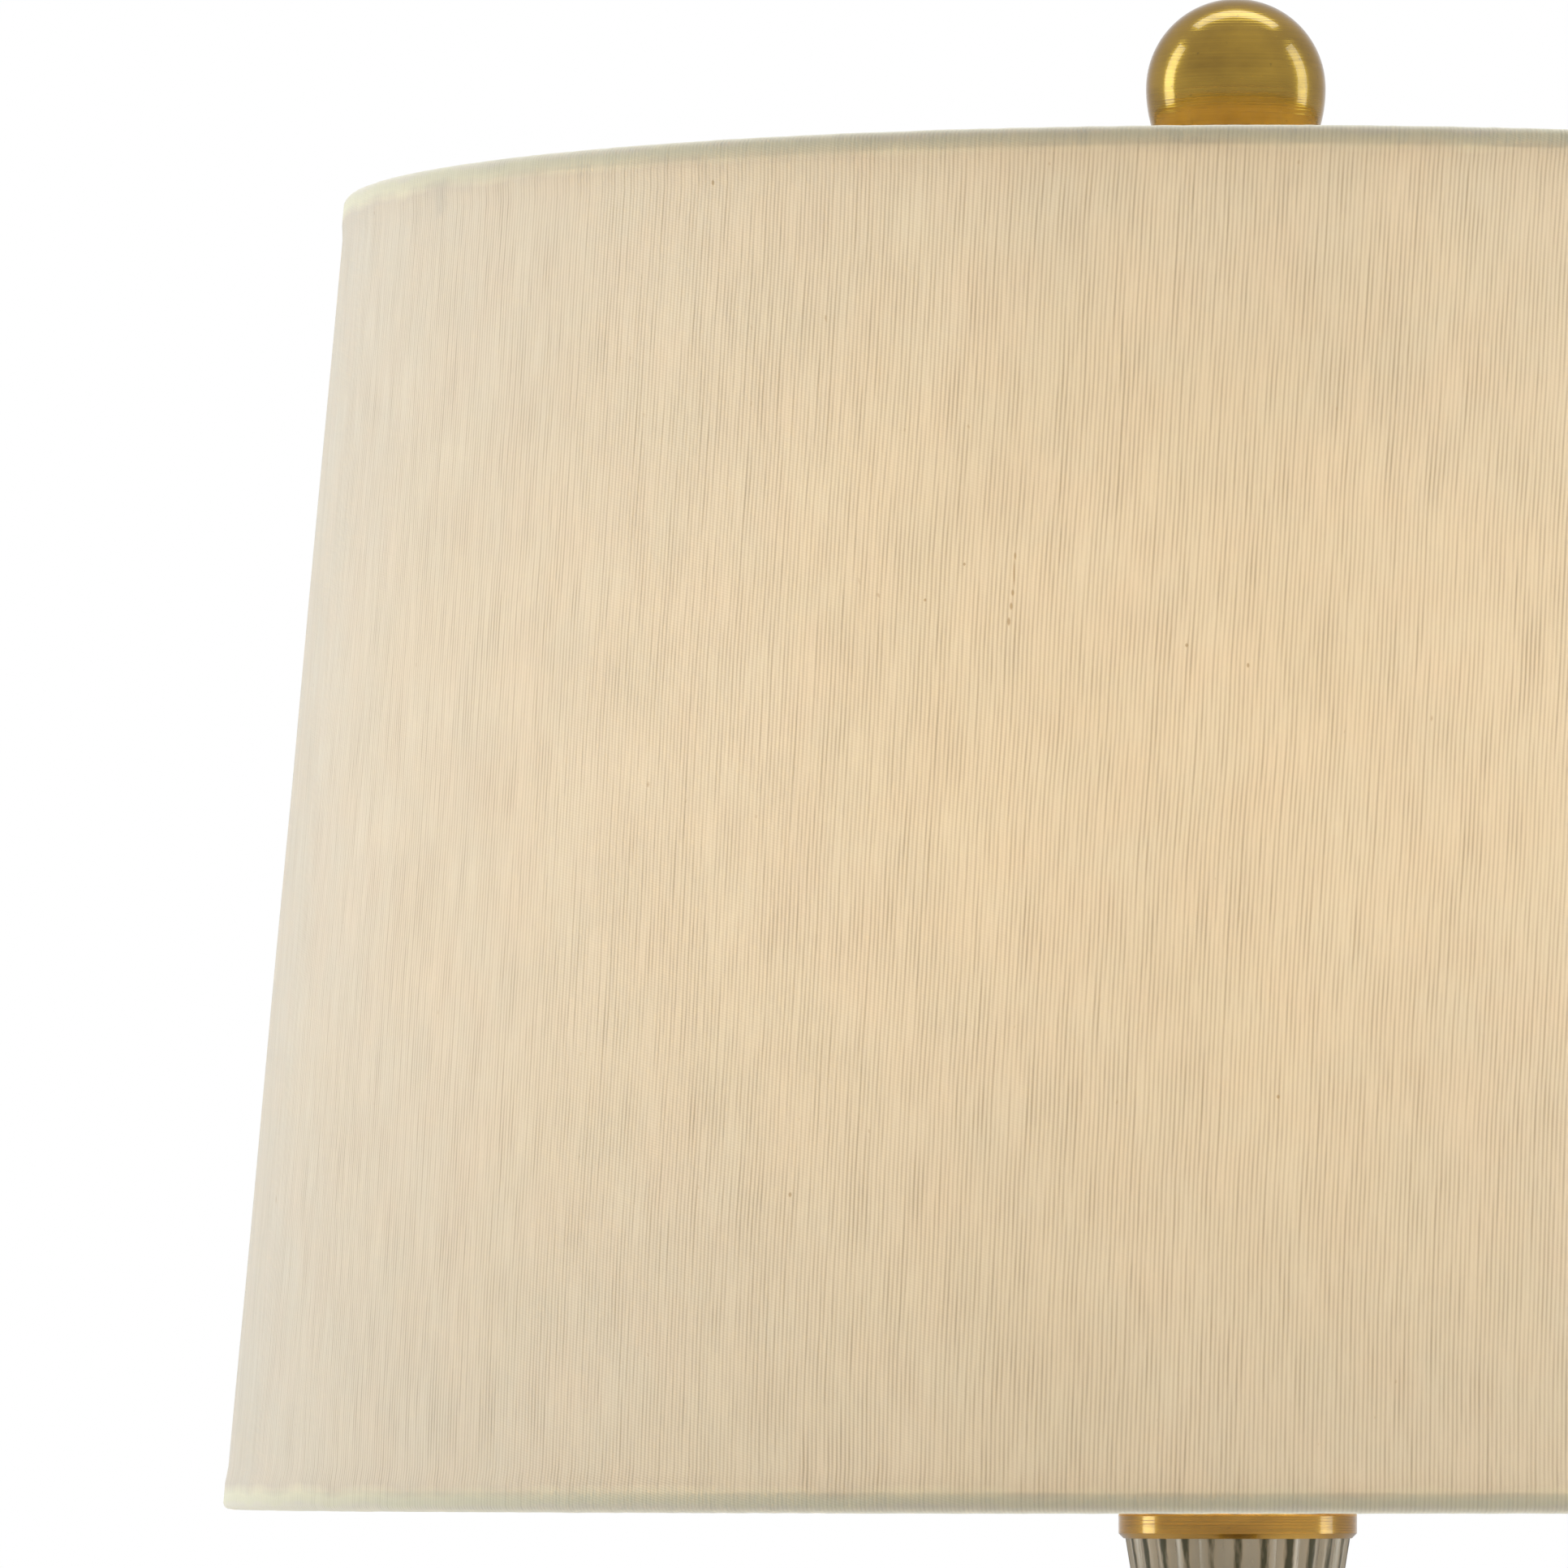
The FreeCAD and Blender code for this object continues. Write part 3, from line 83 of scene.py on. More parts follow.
# %% Wiring helpers
def feed(tree, socket, value):
    """Links a socket, or types a plain value in."""
    if isinstance(value, bpy.types.NodeSocket):
        tree.links.new(value, socket)
    elif socket.type == "RGBA":
        socket.default_value = (*value, 1.0)
    else:
        socket.default_value = value


def add(tree, kind, settings=None, **inputs):
    """Adds a node; an underscore in an input's name stands for a space."""
    node = tree.nodes.new(kind)
    for name, value in (settings or {}).items():
        setattr(node, name, value)
    for name, value in inputs.items():
        feed(tree, node.inputs[name.replace("_", " ")], value)
    return node


def maths(tree, operation, *values, clamp=False):
    """One Math node."""
    node = tree.nodes.new("ShaderNodeMath")
    node.operation = operation
    node.use_clamp = clamp
    for socket, value in zip(node.inputs, values):
        feed(tree, socket, value)
    return node.outputs[0]


def between(tree, value, low, high, start=0.0, end=1.0):
    """value's range low to high, turned into start to end and held there."""
    node = add(tree, "ShaderNodeMapRange", {"clamp": True}, Value=value)
    for name, number in zip(("From Min", "From Max", "To Min", "To Max"), (low, high, start, end)):
        feed(tree, node.inputs[name], number)
    return node.outputs["Result"]


def mixed(tree, share, first, second):
    """A colour, share of the way from first to second."""
    node = tree.nodes.new("ShaderNodeMix")
    node.data_type = "RGBA"
    feed(tree, node.inputs[0], share)
    feed(tree, node.inputs[6], first)
    feed(tree, node.inputs[7], second)
    return node.outputs[2]


def stretched(tree, where, scales):
    """A place with each axis multiplied, so that a pattern on it gets long or short."""
    node = tree.nodes.new("ShaderNodeVectorMath")
    node.operation = "MULTIPLY"
    feed(tree, node.inputs[0], where)
    feed(tree, node.inputs[1], scales)
    return node.outputs[0]


def cloudy(tree, where, scales, detail=2.0):
    """Noise from about 0 to 1. scales is how many features there are in a metre, for each axis."""
    place = stretched(tree, where, scales)
    return add(tree, "ShaderNodeTexNoise", Vector=place, Scale=1.0, Detail=detail).outputs["Fac"]


def relief(tree, height, depth):
    """A bump whose height of 1 is depth metres."""
    node = add(tree, "ShaderNodeBump", Height=height, Distance=depth, Strength=1.0)
    return node.outputs["Normal"]


def times(colour, factors):
    """A colour with each channel multiplied."""
    return tuple(channel * factor for channel, factor in zip(colour, factors))


def new_finish(name, **inputs):
    """A material with one Principled shader, its tree, and the place on the piece."""
    material = bpy.data.materials.new(name)
    material.use_nodes = True
    tree = material.node_tree
    shader = tree.nodes["Principled BSDF"]
    for socket, value in inputs.items():
        feed(tree, shader.inputs[socket.replace("_", " ")], value)
    place = tree.nodes.new("ShaderNodeTexCoord").outputs["Object"]
    return material, tree, shader, place


def mix_shaders(tree, share, first, second, output):
    """Sends share of the way from the first shader to the second to a material or world output."""
    mix = add(tree, "ShaderNodeMixShader")
    for socket, value in zip(mix.inputs, (share, first.outputs[0], second.outputs[0])):
        feed(tree, socket, value)
    feed(tree, output.inputs["Surface"], mix.outputs[0])


def dress(material, *names):
    """Puts a finish on CAD pieces, through their own material slots."""
    for name in names:
        for slot in nodes[name].material_slots:
            slot.material = material
    print(material.name, "on", ", ".join(names))


# %% [markdown]
# ## Antique brass
# The ball, the cap, the rings and the foot are turned brass, browned with acid and then
# lacquered. Turning leaves fine lines that run round the piece, so the noise here is
# stretched: it changes slowly round the piece and quickly up it. The lines change the
# roughness and the height a little, and larger clouds of brown make it look old. A metal
# seen at a grazing angle turns white, but this one is dulled there by a brownish tint.


# %% Antique brass
GRAZING_TINT = (0.62, 0.54, 0.46, 1.0)
DARK_SPECK = (0.05, 0.035, 0.016)
TURNING_DEPTH = 0.00006


def antique_brass(name, bright, brown, lines):
    """Browned and lacquered brass; lines is how many turning lines there are in a metre."""
    material, tree, shader, place = new_finish(name, Metallic=1.0, Coat_Weight=0.5)
    shader.inputs["Coat Roughness"].default_value = 0.03
    shader.inputs["Specular Tint"].default_value = GRAZING_TINT
    turning = cloudy(tree, place, (18.0, 18.0, lines), 3.0)
    clouds = cloudy(tree, place, (55.0, 55.0, 90.0), 5.0)
    specks = cloudy(tree, place, (900.0, 900.0, 900.0), 2.0)
    patina = between(tree, clouds, 0.38, 0.68)
    patina = maths(tree, "ADD", patina, between(tree, turning, 0.35, 0.75, 0.0, 0.35), clamp=True)
    colour = mixed(tree, patina, bright, brown)
    dark = between(tree, specks, 0.68, 0.80, 0.0, 0.45)
    feed(tree, shader.inputs["Base Color"], mixed(tree, dark, colour, DARK_SPECK))
    rough = maths(tree, "MULTIPLY_ADD", turning, 0.12, 0.09)
    rough = maths(tree, "MULTIPLY_ADD", patina, 0.08, rough)
    feed(tree, shader.inputs["Roughness"], rough)
    feed(tree, shader.inputs["Normal"], relief(tree, turning, TURNING_DEPTH))
    return material


ball_brass = antique_brass("ball_brass", (0.33, 0.20, 0.022), (0.21, 0.122, 0.012), 2600.0)
ring_brass = antique_brass("ring_brass", (0.33, 0.205, 0.045), (0.20, 0.120, 0.024), 1900.0)
cap_brass = antique_brass("cap_brass", (0.47, 0.27, 0.045), (0.30, 0.165, 0.025), 2600.0)
dress(ball_brass, "finial_ball", "finial_foot")
dress(cap_brass, "column_cap")
dress(
    ring_brass,
    "brass_foot",
    "bell_collar",
    "lower_knop",
    "shaft_collar",
    "neck_collar",
    "upper_knop",
    "cup_collar",
    "neck_sleeve",
)

# %% [markdown]
# ## Antique nickel
# The reeded pieces are plated in nickel, darkened, and rubbed back so that the dark stays
# in the grooves. The grooves could be found from the mesh's curvature, but the reeds are
# regular: the angle round the lamp's axis, times the number of reeds, says where a point
# is between two grooves, and it stays exact at any distance.


# %% Antique nickel
REEDS = 26
RUBBED_NICKEL = (0.43, 0.36, 0.26)
CLOUDED_NICKEL = (0.33, 0.28, 0.20)
GROOVE_DARK = (0.080, 0.075, 0.046)


def reed_crest(tree, place):
    """1 on the crest of a reed and 0 in the groove between two."""
    parts = add(tree, "ShaderNodeSeparateXYZ", Vector=place).outputs
    angle = maths(tree, "ARCTAN2", parts["Y"], parts["X"])
    wave = maths(tree, "COSINE", maths(tree, "MULTIPLY", angle, float(REEDS)))
    return maths(tree, "MULTIPLY_ADD", wave, 0.5, 0.5)


def antique_nickel(name):
    """Darkened nickel, bright on the crests and brownish black in the grooves."""
    material, tree, shader, place = new_finish(name, Metallic=1.0, Coat_Weight=0.15)
    shader.inputs["Coat Roughness"].default_value = 0.2
    crest = reed_crest(tree, place)
    drawn = cloudy(tree, place, (1500.0, 1500.0, 45.0), 3.0)
    clouds = cloudy(tree, place, (70.0, 70.0, 40.0), 4.0)
    rubbed = maths(tree, "ADD", crest, between(tree, clouds, 0.3, 0.7, -0.16, 0.16))
    rubbed = maths(tree, "ADD", rubbed, between(tree, drawn, 0.3, 0.7, -0.10, 0.10))
    metal = mixed(tree, between(tree, clouds, 0.35, 0.7), RUBBED_NICKEL, CLOUDED_NICKEL)
    colour = mixed(tree, between(tree, rubbed, 0.02, 0.34), GROOVE_DARK, metal)
    feed(tree, shader.inputs["Base Color"], colour)
    rough = between(tree, rubbed, 0.1, 0.7, 0.5, 0.24)
    feed(tree, shader.inputs["Roughness"], maths(tree, "MULTIPLY_ADD", drawn, 0.1, rough))
    feed(tree, shader.inputs["Normal"], relief(tree, drawn, 0.00005))
    return material


dress(antique_nickel("antique_nickel"), "reeded_bell", "reeded_shaft", "reeded_cup")

# %% [markdown]
# ## Light metal fittings
# The harp, the socket and its cap are thin brass with a bright plating, which has a few
# dull patches from handling. The nuts and washers are zinc-plated steel, which is greyer,
# and its plating shows as small crystals. Both are a Principled shader with metallic at 1,
# and only the noise that drives colour and roughness differs.


# %% Plated brass, zinc-plated steel and the contact metals
def plated(name, colour, dull, grain, rough=(0.16, 0.34)):
    """A plated metal with dull patches; grain is how many crystals there are in a metre."""
    material, tree, shader, place = new_finish(name, Metallic=1.0)
    patches = cloudy(tree, place, (160.0, 160.0, 160.0), 4.0)
    crystals = add(tree, "ShaderNodeTexVoronoi", Vector=place, Scale=grain).outputs["Color"]
    crystal = add(tree, "ShaderNodeSeparateColor", Color=crystals).outputs["Red"]
    share = between(tree, patches, 0.4, 0.72)
    share = maths(tree, "MULTIPLY_ADD", crystal, 0.25, share, clamp=True)
    feed(tree, shader.inputs["Base Color"], mixed(tree, share, colour, dull))
    feed(tree, shader.inputs["Roughness"], between(tree, share, 0.0, 1.0, *rough))
    feed(tree, shader.inputs["Normal"], relief(tree, patches, 0.00002))
    return material


harp_brass = plated("harp_brass", (0.78, 0.58, 0.27), (0.52, 0.37, 0.16), 700.0)
zinc = plated("zinc_steel", (0.60, 0.61, 0.62), (0.42, 0.43, 0.45), 900.0, (0.25, 0.45))
aluminium = plated("aluminium", (0.80, 0.80, 0.79), (0.62, 0.62, 0.61), 1200.0)
solder = plated("solder", (0.55, 0.55, 0.56), (0.40, 0.40, 0.41), 2000.0, (0.3, 0.5))
iron = plated("cast_iron", (0.10, 0.095, 0.09), (0.055, 0.05, 0.045), 1500.0, (0.55, 0.8))
dress(
    harp_brass,
    "harp_saddle",
    "harp_loop",
    "harp_sleeve_left",
    "harp_sleeve_right",
    "harp_stud",
    "neck_locknut",
    "socket_cap",
    "socket_shell",
    "socket_contact",
    "terminal_screw_brass",
    "switch_stem",
)
dress(
    zinc, "base_washer", "base_nut", "lamp_pipe", "socket_set_screw", "terminal_screw_nickel"
)
dress(aluminium, "socket_screw_shell", "bulb_cap")
dress(solder, "bulb_contact")
dress(iron, "iron_weight")

# %% [markdown]
# ## Plastics, card and painted wire
# Moulded black phenolic is glossy where the mould was polished and has a faint orange peel.
# The socket's insulating liner is pressed card. The wire frame of the shade is dipped in
# white paint, which is a little thicker at some places than at others. None of these is a
# metal, so their Principled shaders keep metallic at 0 and only colour and bump vary.


# %% Plastics, card and paint
def moulded(name, colour, other, grain, rough, depth):
    """A non-metal with fine grain; grain is how many grains there are in a metre."""
    material, tree, shader, place = new_finish(name)
    grains = cloudy(tree, place, (grain, grain, grain), 3.0)
    patches = cloudy(tree, place, (90.0, 90.0, 90.0), 3.0)
    share = maths(tree, "MULTIPLY", between(tree, grains, 0.3, 0.7), patches)
    feed(tree, shader.inputs["Base Color"], mixed(tree, share, colour, other))
    feed(tree, shader.inputs["Roughness"], between(tree, patches, 0.3, 0.7, *rough))
    feed(tree, shader.inputs["Normal"], relief(tree, grains, depth))
    return material


plastic = moulded(
    "black_plastic", (0.020, 0.019, 0.018), (0.05, 0.048, 0.045), 1400.0, (0.22, 0.38), 0.00002
)
black_glass = moulded(
    "black_glass", (0.012, 0.012, 0.014), (0.03, 0.03, 0.04), 500.0, (0.06, 0.16), 0.00001
)
card = moulded(
    "pressed_card", (0.42, 0.33, 0.22), (0.27, 0.20, 0.13), 3000.0, (0.75, 0.95), 0.00005
)
paint = moulded(
    "white_wire", (0.80, 0.79, 0.76), (0.66, 0.65, 0.61), 500.0, (0.3, 0.45), 0.00004
)
dress(plastic, "cord_bushing", "socket_core", "switch_knob")
dress(black_glass, "bulb_insulator")
dress(card, "socket_liner")
dress(paint, "shade_top_ring", "shade_bottom_ring", "shade_spider")

# %% [markdown]
# ## The bulb
# A frosted bulb is lit all over, because the frosting scatters the light of the filament
# before it leaves the glass. Light through real frosted glass takes very long to render
# without grain. A white glass that also sends out a little light of its own looks the same
# from outside, and a soft lamp inside it does the real lighting of the shade. The lamp
# rides with the bulb, so that the light stays in the glass when the bulb is unscrewed. It is
# a little smaller than the round of the glass, and sits low in it.

# %% Bulb
BULB_LIGHT_MIDDLE = Vector((0.0, 0.0, 0.5890))
BULB_LIGHT_RADIUS = 0.021
BULB_POWER = 2.06
BULB_COLOUR = (1.0, 0.75, 0.47)
GLASS_GLOW = (1.0, 0.83, 0.58, 1.0)
GLASS_GLOW_STRENGTH = 1.6

frosted, tree, shader, place = new_finish("frosted_glass", Coat_Weight=0.3)
frost = cloudy(tree, place, (2500.0, 2500.0, 2500.0), 2.0)
coating = cloudy(tree, place, (45.0, 45.0, 60.0), 3.0)
whites = mixed(tree, coating, (0.93, 0.92, 0.89), (0.86, 0.85, 0.81))
feed(tree, shader.inputs["Base Color"], whites)
feed(tree, shader.inputs["Roughness"], between(tree, frost, 0.3, 0.7, 0.3, 0.5))
feed(tree, shader.inputs["Normal"], relief(tree, frost, 0.00001))
shader.inputs["Emission Color"].default_value = GLASS_GLOW
shader.inputs["Emission Strength"].default_value = GLASS_GLOW_STRENGTH
dress(frosted, "bulb_glass")
nodes["bulb_glass"].visible_shadow = False

bulb_light = bpy.data.lights.new("bulb_light", "POINT")
bulb_light.energy = BULB_POWER
bulb_light.color = BULB_COLOUR
bulb_light.shadow_soft_size = BULB_LIGHT_RADIUS
bulb_lamp = bpy.data.objects.new("bulb_lamp", bulb_light)
bulb_lamp.location = BULB_LIGHT_MIDDLE
scene.collection.objects.link(bulb_lamp)
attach(bulb_lamp, "bulb")
print("bulb light at", tuple(round(c, 4) for c in BULB_LIGHT_MIDDLE))

# %% [markdown]
# ## The shade's shape
# The shade is a part of a cone. Its cloth is cut flat, as a piece of a ring, and glued to a
# clear plastic sheet, so its threads stay straight and parallel on the flat cut but lean on
# the cone, more and more towards the back. To get that, every point of the cloth keeps its
# place on the flat cut as its UV, in metres, and the weave is drawn from the UV.

# %% Shade measures
SHADE_TOP_RADIUS = 0.1905
SHADE_BOTTOM_RADIUS = 0.2159
SHADE_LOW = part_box("shade_bottom_hem")[0].z
SHADE_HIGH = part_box("shade_top_hem")[1].z

shade_height = SHADE_HIGH - SHADE_LOW
taper = SHADE_BOTTOM_RADIUS - SHADE_TOP_RADIUS
slant = math.hypot(shade_height, taper)
cut_bottom = SHADE_BOTTOM_RADIUS * slant / taper


def shade_radius(z, inset=0.0):
    """Radius of the shade's outside at a height, less an inset."""
    return SHADE_BOTTOM_RADIUS - taper * (z - SHADE_LOW) / shade_height - inset


def on_shade(angle, radius, z):
    """A point at an angle from the front, growing to the right as the camera sees it."""
    return (radius * math.sin(angle), -radius * math.cos(angle), z)


# %% [markdown]
# ## Cloth from rows of points
# A cloth could be modelled by hand from a plane. It is more exact to work out its points: a
# row of them is one line over the cloth, and each next row is the same line a step further
# round. Faces join neighbouring rows, and each corner remembers its place on the flat cut.


# %% Meshes from rows of points
def grid_mesh(name, rows, flat_rows, closed=False):
    """A smooth mesh from rows of points, with each point's flat place as its UV. closed joins
    each row's last point to its first, and one more flat row joins the last row to the first."""
    points = [point for row in rows for point in row]
    wide = len(rows[0])
    faces, flats = [], []
    for i in range(len(flat_rows) - 1):
        this, after = i * wide, (i + 1) % len(rows) * wide
        for j in range(wide if closed else wide - 1):
            k = (j + 1) % wide
            faces.append((this + j, after + j, after + k, this + k))
            flats += [flat_rows[i][j], flat_rows[i + 1][j], flat_rows[i + 1][k], flat_rows[i][k]]
    mesh = bpy.data.meshes.new(name)
    mesh.from_pydata(points, [], faces)
    layer = mesh.uv_layers.new(name="flat_cut")
    layer.data.foreach_set("uv", np.array(flats, dtype=np.float32).ravel())
    mesh.polygons.foreach_set("use_smooth", [True] * len(faces))
    mesh.update()
    piece = bpy.data.objects.new(name, mesh)
    scene.collection.objects.link(piece)
    return piece


# %% [markdown]
# ## The cloth cover
# The cover could be a cone with a bump map, but a real one has edges. At the top and bottom it
# rolls over a wire and turns in, and at the back one end is folded under and glued over the
# other. So its outline is drawn first, from the inside of one roll to the inside of the other,
# and then taken once round from the back, over its own start. It also rises and falls by a
# tenth of a millimetre, as cloth glued by hand does.

# %% Cover
COVER_INSET = 0.00048
ROLL_INSET = 0.00008
ROLL_LIFT = 0.00025
ROLL_ROUND = 0.0014
ROLL_WIDTH = 0.0053
ROLL_CROWN = 0.0002
TURNED_IN = 0.0026
BAND = 0.0050
BAND_EASE = 0.0035
COVER_COLUMNS = 560
COVER_ROWS = 40
LAP = 0.012
LAP_RISE = 0.00042
FOLD = 0.00016
WAVE = 0.00010
PUCKER_OUT = 0.00006
PUCKER_UP = 0.00008


def smooth_step(x):
    """0 below 0 and 1 above 1, with a soft curve between."""
    x = min(max(x, 0.0), 1.0)
    return x * x * (3 - 2 * x)


def roll_line():
    """(inset, depth below the edge) of the cloth from outside, over the wire, to its inner end."""
    near, far, top = ROLL_INSET, ROLL_WIDTH, -ROLL_LIFT
    line = [(near, BAND * (1 - i / 5)) for i in range(4)]
    for k in range(7):
        turn = math.radians(15 * k)
        inset = near + ROLL_ROUND * (1 - math.cos(turn))
        line.append((inset, top + ROLL_ROUND * (1 - math.sin(turn))))
    for k in range(1, 5):
        share = k / 5
        inset = near + ROLL_ROUND + (far - near - 2 * ROLL_ROUND) * share
        line.append((inset, top - ROLL_CROWN * math.sin(math.pi * share)))
    for k in range(7):
        turn = math.radians(90 - 15 * k)
        inset = far - ROLL_ROUND * (1 - math.cos(turn))
        line.append((inset, top + ROLL_ROUND * (1 - math.sin(turn))))
    line += [(far, (ROLL_ROUND + TURNED_IN) / 2), (far, TURNED_IN)]
    return line


def cover_line():
    """The whole outline: (inset, height, length along the cloth from the lower edge)."""
    roll = roll_line()
    lower = [(inset, SHADE_LOW + depth) for inset, depth in reversed(roll)]
    upper = [(inset, SHADE_HIGH - depth) for inset, depth in roll]
    start, end = SHADE_LOW + BAND, SHADE_HIGH - BAND
    middle = []
    for j in range(1, COVER_ROWS):
        z = start + (end - start) * (0.5 - 0.5 * math.cos(math.pi * j / COVER_ROWS))
        sunk = smooth_step(min(z - start, end - z) / BAND_EASE)
        middle.append((ROLL_INSET + (COVER_INSET - ROLL_INSET) * sunk, z))
    line = lower + middle + upper
    lengths = [0.0]
    for (a, b), (c, d) in zip(line, line[1:]):
        step = math.hypot(shade_radius(d, c) - shade_radius(b, a), d - b)
        lengths.append(lengths[-1] + step)
    edge = lengths[len(lower) - 1] - BAND * slant / shade_height
    return [(inset, z, length - edge) for (inset, z), length in zip(line, lengths)]


def cover_columns():
    """(angle, rise) for each column, from the back, once round, over the lap and under."""
    round_once = [
        (-math.pi + 2 * math.pi * i / COVER_COLUMNS, 0.0) for i in range(COVER_COLUMNS - 3)
    ]
    lap_angle = LAP / SHADE_BOTTOM_RADIUS
    over = []
    for i in range(15):
        angle = math.pi - lap_angle * 0.5 + lap_angle * 1.5 * i / 14
        rise = LAP_RISE * smooth_step((angle - math.pi + lap_angle * 0.45) / (lap_angle * 0.4))
        over.append((angle, rise))
    end = over[-1][0]
    fold = [
        (end + FOLD / 0.2 * math.sin(t), LAP_RISE - FOLD + FOLD * math.cos(t))
        for t in (math.pi * k / 5 for k in range(1, 6))
    ]
    under = [(end - 0.01, LAP_RISE - 2 * FOLD)]
    return round_once + over + fold + under


def cover_piece():
    """The cover, and the length of the cloth from one turned-in end to the other."""
    line = cover_line()
    rows, flats = [], []
    for angle, rise in cover_columns():
        east, north = math.sin(angle), math.cos(angle)
        turn = angle * taper / slant
        row, flat = [], []
        for inset, z, length in line:
            outside = inset < ROLL_ROUND
            wave = noise.noise(Vector((14 * east, 14 * north, 22 * z)))
            pucker = noise.noise(Vector((75 * east, 75 * north, 40 * z)))
            near_edge = min(z - SHADE_LOW, SHADE_HIGH - z) < BAND
            out = WAVE * wave + PUCKER_OUT * pucker * near_edge + (rise if outside else -rise)
            up = PUCKER_UP * pucker * near_edge * (1 if z > 0.6 else -1)
            row.append(on_shade(angle, shade_radius(z, inset) + out, z + up))
            reach = cut_bottom - length
            flat.append((reach * math.sin(turn), cut_bottom - reach * math.cos(turn)))
        rows.append(row)
        flats.append(flat)
    return grid_mesh("cloth_cover", rows, flats), line[-1][2] - line[0][2]


cover, cloth_width = cover_piece()
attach(cover, "shade")
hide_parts("shade_cover")
print("cover", len(cover.data.polygons), "faces, cloth", round(cloth_width, 4), "m up the slant")

# %% [markdown]
# ## The hems
# Under each roll a strip of the same cloth holds the wire ring: it is folded over the ring and
# glued down on both sides, and its inner leg is what shows inside the shade. A flat band would
# look like paper, so the strip's outline is drawn with the cloth's thickness: a leg outside, a
# round fold over the wire, and a leg inside. Small noise moves it as it goes round the shade.

# %% Hems
HEM_CLOTH = 0.0003
HEM_INSET = 0.00022
HEM_HEIGHT = 0.0036
HEM_INSIDE = 0.0038
HEM_WIDTH = 0.00505
HEM_ROUND = 0.00115
HEM_CROWN = 0.00015
HEM_COLUMNS = 540
HEM_RIPPLE = 0.00008


def hem_line():
    """The middle of the folded strip: (inset, depth below the edge, way out of the cloth)."""
    half = HEM_CLOTH / 2
    near, far = HEM_INSET + half, HEM_WIDTH - half
    outer_leg = HEM_HEIGHT - HEM_ROUND - half
    inner_leg = HEM_INSIDE - HEM_ROUND - half
    points = [(near, HEM_HEIGHT - i * outer_leg / 6, math.pi) for i in range(6)]
    for centre, start in ((near + HEM_ROUND, 180), (far - HEM_ROUND, 90)):
        for k in range(7):
            turn = math.radians(start - 15 * k)
            inset = centre + HEM_ROUND * math.cos(turn)
            depth = half + HEM_ROUND - HEM_ROUND * math.sin(turn)
            points.append((inset, depth, turn))
        if start == 180:
            width = far - near - 2 * HEM_ROUND
            for k in range(1, 5):
                points.append((near + HEM_ROUND + width * k / 5, half, math.pi / 2))
    points += [(far, HEM_ROUND + half + i * inner_leg / 4, 0.0) for i in range(1, 5)]
    crowned = []
    for inset, depth, turn in points:
        share = min(max((inset - near) / (far - near), 0.0), 1.0)
        crown = HEM_CROWN * math.sin(math.pi * share) * (depth < 0.0012)
        crowned.append((inset, depth - crown, turn))
    return crowned


def hem_piece(name, edge_z, up):
    """One strip, and its width when unfolded; up is 1 at the top edge and -1 at the lower."""
    line = hem_line()
    half = HEM_CLOTH / 2
    lengths = [0.0]
    for a, b in zip(line, line[1:]):
        lengths.append(lengths[-1] + math.hypot(b[0] - a[0], b[1] - a[1]))
    outer = [(i, d, t, 1, s) for (i, d, t), s in zip(line, lengths)]
    inner = [(i, d, t, -1, s) for (i, d, t), s in zip(line, lengths)]
    section = (outer + inner[::-1])[::up]
    rows, flats = [], []
    for i in range(HEM_COLUMNS):
        angle = -math.pi + 2 * math.pi * i / HEM_COLUMNS
        row, flat = [], []
        east, north = math.sin(angle), math.cos(angle)
        for inset, depth, turn, side, along in section:
            ripple = noise.noise(Vector((60 * east, 60 * north, along * 260 + up * 9)))
            lift = noise.noise(Vector((24 * east, 24 * north, 7.0 * up)))
            outwards = half * side + HEM_RIPPLE * ripple * (turn < 1.2)
            ragged = 1.0 + (0.035 * lift + 0.05 * ripple) * (depth > 0.0030)
            inset_here = inset + outwards * math.cos(turn)
            depth_here = depth * ragged - outwards * math.sin(turn)
            z = edge_z - up * depth_here
            row.append(on_shade(angle, shade_radius(z, inset_here), z))
            flat.append((angle * SHADE_TOP_RADIUS, along))
        rows.append(row)
        flats.append(flat)
    flats.append([(u + 2 * math.pi * SHADE_TOP_RADIUS, v) for u, v in flats[0]])
    return grid_mesh(name, rows, flats, closed=True), lengths[-1]


hems = {}
for hem_name, node_name, edge_z, up in (
    ("top_hem", "shade_top_hem", SHADE_HIGH, 1),
    ("bottom_hem", "shade_bottom_hem", SHADE_LOW, -1),
):
    hem, strip_width = hem_piece(hem_name, edge_z, up)
    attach(hem, "shade")
    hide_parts(node_name)
    hems[hem_name] = hem

# %% [markdown]
# ## The ribbed cloth
# The cloth is a fine faille: fat threads run up it, a little under a millimetre apart, with
# thin threads across. A checker or wave texture would be far too even. Here the place across
# the cloth is divided by the spacing, so that each whole number is a thread, and then noise
# that is stretched along the threads makes some of them thin, some thick and some broken.
# In the real cloth the threads bend near the lower hem and lean at a few degrees above it.

# %% Weave
RIB_PITCH = 0.000905
THREAD_LEAN = 0.066
LEAN_EASE = 0.0034
LEAN_FADE = 0.06
WEFT_PITCH = 0.00052
WANDER = 0.0022


